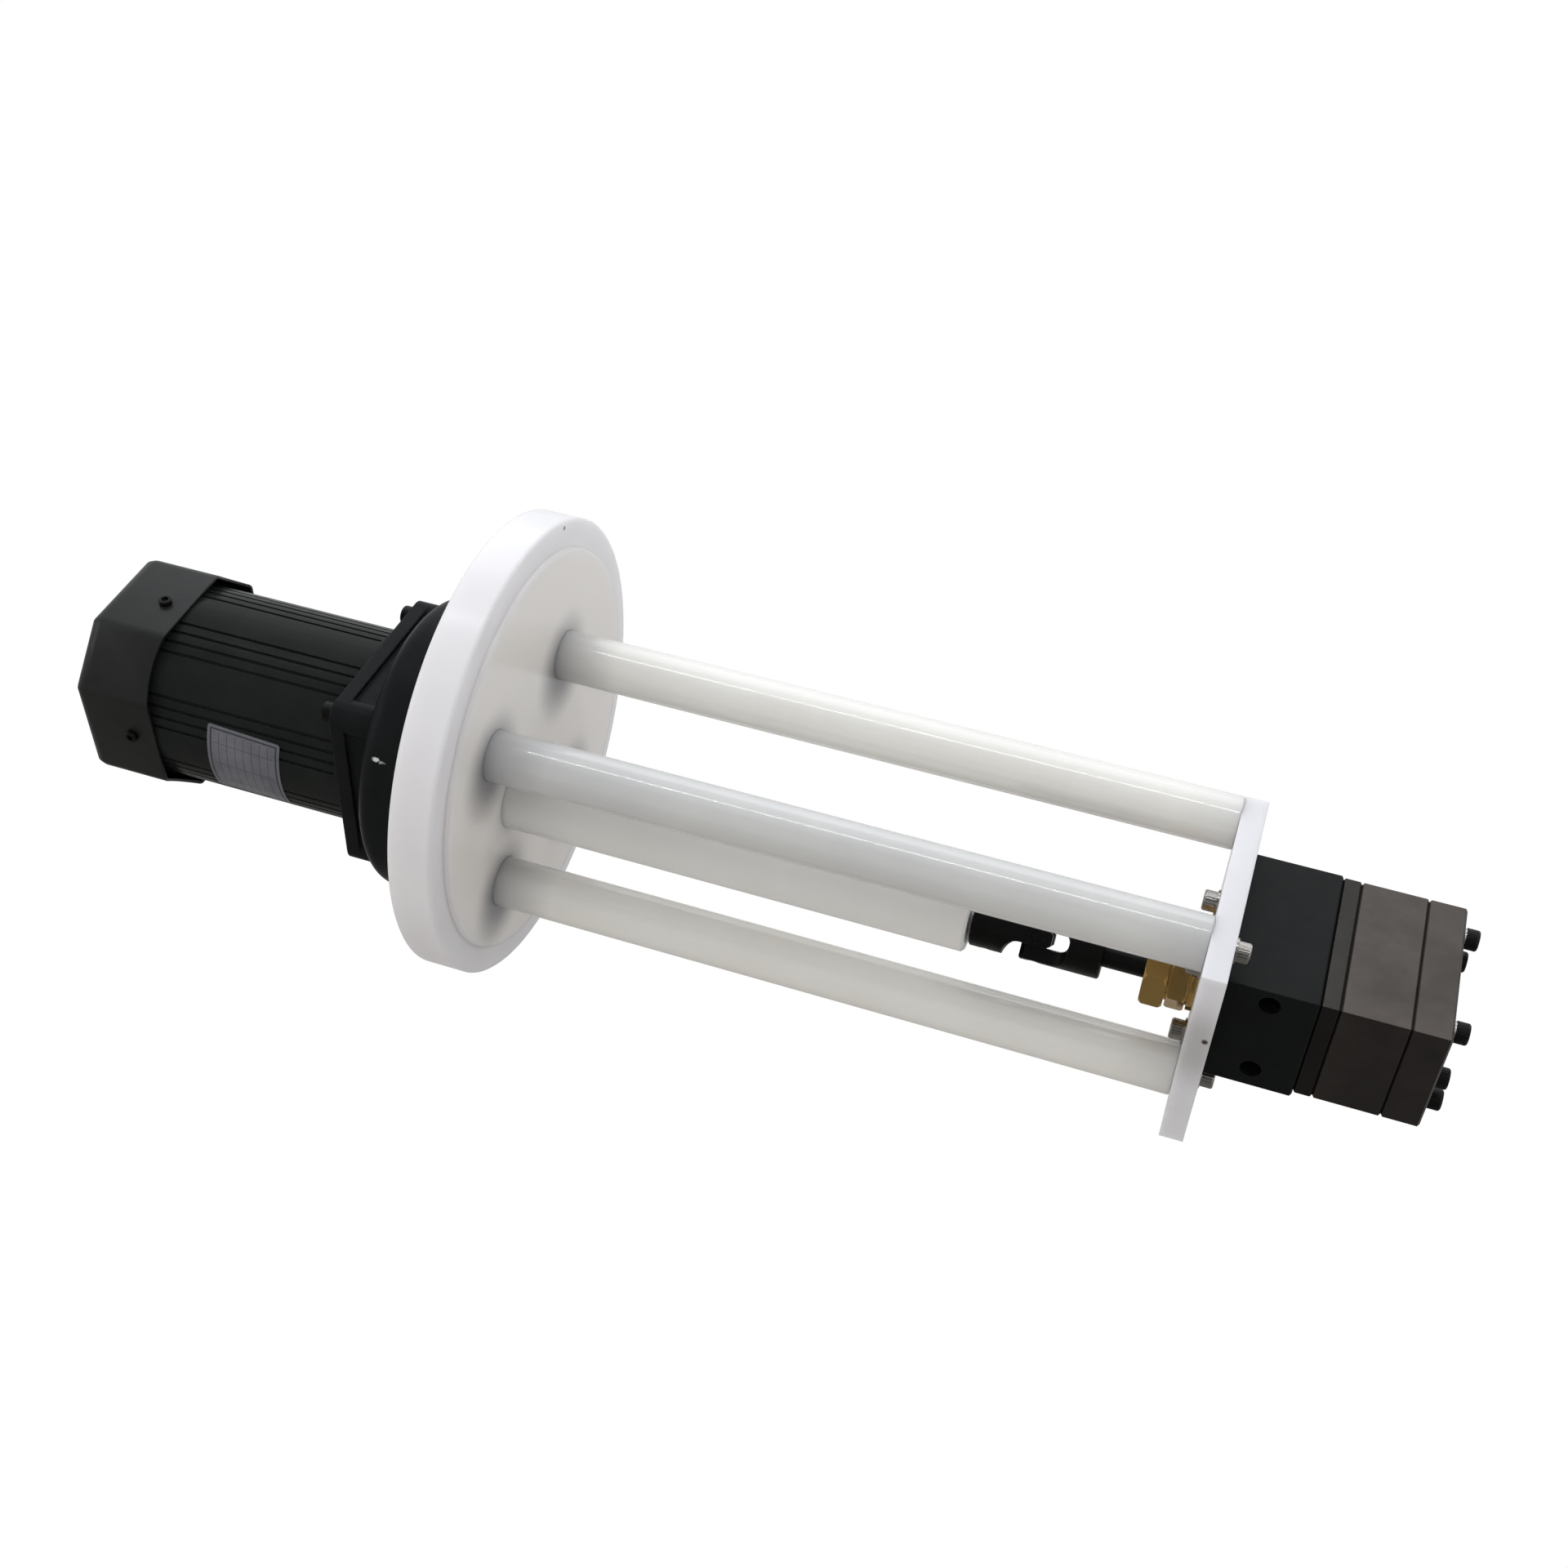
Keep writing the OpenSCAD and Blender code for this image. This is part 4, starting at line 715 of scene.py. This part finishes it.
# a pressed octagonal cup; weights on its edges say how round each is, and the vent slots and arches are cut out
def makeFanCover(c, node="fan_cover"):
    low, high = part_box(node)
    middle = (low + high) / 2
    turn = Matrix.Translation((middle.x, middle.y, 0)) @ Matrix.Rotation(math.radians(c["turn"]), 4, "Z")
    spin = abs(math.radians(c["turn"]))
    side = (high.x - low.x) / 2 / (math.cos(spin) + math.sin(spin) * c["flatShare"])
    height = high.z - low.z
    bm = bmesh.new()
    ring = bmesh.ops.create_circle(bm, cap_ends=True, segments=8, radius=side)["verts"]
    short = side - c["chamfer"]
    for v in ring:
        angle = math.atan2(v.co.y, v.co.x)
        octant = math.floor(angle / (math.pi / 4) + 0.5) * math.pi / 4 + math.pi / 8
        x, y = math.cos(octant), math.sin(octant)
        wide, deep = (side, short) if abs(x) > abs(y) else (short, side)
        v.co.xy = (math.copysign(wide, x), math.copysign(deep, y))
    raiseFace(bm, ring[0].link_faces[0], height)
    weight = bm.edges.layers.float.new("bevel_weight_edge")
    for e in bm.edges:
        ends = sorted(v.co.z for v in e.verts)
        e[weight] = 1.0 if ends[0] > height / 2 else c["crease"] if ends[1] > height / 2 else 0.0
    bottom = [f for f in bm.faces if max(v.co.z for v in f.verts) < height / 2]
    bmesh.ops.delete(bm, geom=bottom, context="FACES")
    bmesh.ops.recalc_face_normals(bm, faces=bm.faces)
    bmesh.ops.transform(bm, matrix=Matrix.Translation((0, 0, low.z)) @ turn, verts=bm.verts)
    cup = newObject("fan_cover.pressed", bm)

    cuts = bmesh.new()
    for number in range(c["slots"]):
        angle = (number + 0.5) * math.tau / c["slots"]
        addSlot(cuts, c, *c["outerSlot"], angle)
        if number % 2 == 0:
            addSlot(cuts, c, *c["innerSlot"], angle)
    bmesh.ops.translate(cuts, verts=cuts.verts, vec=(0, 0, high.z))
    reach = (c["chamfer"] ** 2 / 2 + c["arch"] ** 2) / (2 * c["arch"])
    for number in range(4):
        bar = bmesh.ops.create_cone(cuts, cap_ends=True, segments=c["archFacets"], radius1=reach, radius2=reach,
                                    depth=c["archDepth"])["verts"]
        lying = Matrix.Rotation(math.pi / 2, 4, "Y")
        place = Matrix.Translation((side * c["archPlace"], 0, low.z + c["arch"] - reach)) @ lying
        corner = Matrix.Rotation(math.radians(45 + 90 * number), 4, "Z")
        bmesh.ops.transform(cuts, matrix=corner @ place, verts=bar)
    bmesh.ops.transform(cuts, matrix=turn, verts=cuts.verts)
    cutter = newObject("coverCuts", cuts)

    rounding = cup.modifiers.new("rounding", "BEVEL")
    rounding.width, rounding.segments, rounding.limit_method = c["endRadius"], c["endFacets"], "WEIGHT"
    wall = cup.modifiers.new("wall", "SOLIDIFY")
    wall.thickness, wall.offset = c["sheet"], -1
    cut = cup.modifiers.new("cuts", "BOOLEAN")
    cut.operation, cut.solver, cut.use_self, cut.object = "DIFFERENCE", "EXACT", True, cutter
    shaped = cup.evaluated_get(bpy.context.evaluated_depsgraph_get())
    cup.data = bpy.data.meshes.new_from_object(shaped)
    cup.modifiers.clear()
    bpy.data.objects.remove(cutter)
    finishPiece(cup, materials[slotOf[node]], node, c["smoothAngle"])


makeFanCover(fanCover)
print("fan cover made")


studio = {
    "floorDrop": 0.155,  # floor below the pump's end
    "floorSize": 12.0,
    "floorColour": (0.66, 0.66, 0.66),
    "floorRough": 0.9,
    "floorSpecular": 0.1,
    "fade": (0.10, 0.32, 0.35),  # the floor turns white from here to here; share of white at the middle
    "sky": (0.56, 1.08),  # light on dull faces, from side to side
    "warm": (1.0, 0.962, 0.905),
    "cool": (0.965, 0.98, 1.0),
    "gloss": (0.23, 1.0),  # what shiny faces see of it, from side to side
    "glossSpan": 0.7,  # how far to each side the gloss and the tint keep changing
    "floorSpan": 0.4,
    "front": (0.55, 0.95),  # where the dark patch behind the camera starts and is full
    "behindCamera": 0.12,  # gloss seen there
}


def makeFloor(s):
    low = cadBounds[0]
    bm = bmesh.new()
    bmesh.ops.create_grid(bm, x_segments=1, y_segments=1, size=s["floorSize"] / 2)
    bmesh.ops.translate(bm, verts=bm.verts, vec=(0, 0, low[2] - s["floorDrop"]))
    data = bpy.data.meshes.new("floor")
    bm.to_mesh(data)
    bm.free()
    floor = bpy.data.objects.new("floor", data)
    bpy.context.scene.collection.objects.link(floor)
    material, tree, shader, place = startMaterial("floor")
    shader.inputs["Base Color"].default_value = colour4(s["floorColour"])
    shader.inputs["Roughness"].default_value = s["floorRough"]
    shader.inputs["Specular IOR Level"].default_value = s["floorSpecular"]
    flat = addNode(tree, "ShaderNodeVectorMath", {1: (1.0, 1.0, 0.0)}, operation="MULTIPLY")
    far = addNode(tree, "ShaderNodeVectorMath", operation="LENGTH")
    link(tree, place, flat.inputs[0])
    link(tree, flat.outputs["Vector"], far.inputs[0])
    near, away, middle = s["fade"]
    fade = spread(tree, far.outputs["Value"], near, away, middle, 1.0)
    path = addNode(tree, "ShaderNodeLightPath")
    seen = mathNode(tree, "MAXIMUM", path.outputs["Is Camera Ray"], path.outputs["Is Glossy Ray"])
    seen = mathNode(tree, "MAXIMUM", seen, path.outputs["Is Transmission Ray"])
    white = addNode(tree, "ShaderNodeEmission")
    gloss = spread(tree, measureAlong(tree, place, acrossView), -s["floorSpan"], s["floorSpan"], *s["gloss"])
    link(tree, mixFloat(tree, path.outputs["Is Glossy Ray"], 1.0, gloss), white.inputs["Strength"])
    mix = addNode(tree, "ShaderNodeMixShader")
    link(tree, mathNode(tree, "MULTIPLY", fade, seen, True), mix.inputs[0])
    link(tree, shader.outputs[0], mix.inputs[1])
    link(tree, white.outputs[0], mix.inputs[2])
    link(tree, mix.outputs[0], tree.nodes["Material Output"].inputs["Surface"])
    data.materials.append(material)


# white backdrop; the light on the pump falls off across the view, as beside a large softbox
def makeSky(s):
    world = bpy.data.worlds.new("studio")
    bpy.context.scene.world = world
    world.use_nodes = True
    tree = world.node_tree
    sky = tree.nodes["Background"]
    place = addNode(tree, "ShaderNodeTexCoord").outputs["Generated"]
    side = measureAlong(tree, place, acrossView)
    dull = spread(tree, side, -1.0, 1.0, *s["sky"])
    gloss = spread(tree, side, -s["glossSpan"], s["glossSpan"], *s["gloss"])
    dark = spread(tree, measureAlong(tree, place, toCamera), *s["front"], 1.0, s["behindCamera"])
    gloss = mathNode(tree, "MULTIPLY", gloss, dark)
    path = addNode(tree, "ShaderNodeLightPath")
    shown = mathNode(tree, "MAXIMUM", path.outputs["Is Camera Ray"], path.outputs["Is Transmission Ray"])
    across = spread(tree, side, -s["glossSpan"], s["glossSpan"], 0.0, 1.0)
    tint = mixColour(tree, across, colour4(s["warm"]), colour4(s["cool"]))
    link(tree, mixColour(tree, shown, tint, (1.0, 1.0, 1.0, 1.0)), sky.inputs["Color"])
    level = mixFloat(tree, path.outputs["Is Glossy Ray"], dull, gloss)
    link(tree, mixFloat(tree, shown, level, 1.0), sky.inputs["Strength"])


lamps = {
    # towards the camera, across the view and up from the pump's middle in metres; width, height; watts; colour
    "keySoftbox": ((-0.05, 0.60, 0.05), 0.4, 1.2, 1.3, (0.92, 0.955, 1.0)),
    "highStrip": ((0.42, 0.46, 0.00), 0.012, 1.4, 0.95, (0.90, 0.95, 1.0)),
    "endStrip": ((0.50, 0.10, 0.95), 0.12, 0.4, 0.55, (0.95, 0.97, 1.0)),
    "frontFill": ((1.50, -0.40, 0.40), 1.2, 1.2, 1.2, (1.0, 0.97, 0.93)),
}


def makeLamps(table):
    low, high = (Vector(c) for c in cadBounds)
    middle = (low + high) / 2
    for name, (place, width, height, watts, colour) in table.items():
        data = bpy.data.lights.new(name, "AREA")
        data.shape = "RECTANGLE"
        data.size, data.size_y = width, height
        data.energy = watts
        data.color = colour
        lamp = bpy.data.objects.new(name, data)
        lamp.visible_camera = False
        bpy.context.scene.collection.objects.link(lamp)
        at = middle + toCamera * place[0] + acrossView * place[1] + Vector((0, 0, place[2]))
        lamp.matrix_world = Matrix.Translation(at) @ (middle - at).to_track_quat("-Z", "Y").to_matrix().to_4x4()


makeFloor(studio)
makeSky(studio)
makeLamps(lamps)
bpy.context.scene.view_settings.view_transform = "Standard"
print("studio lit")

bpy.context.view_layer.update()
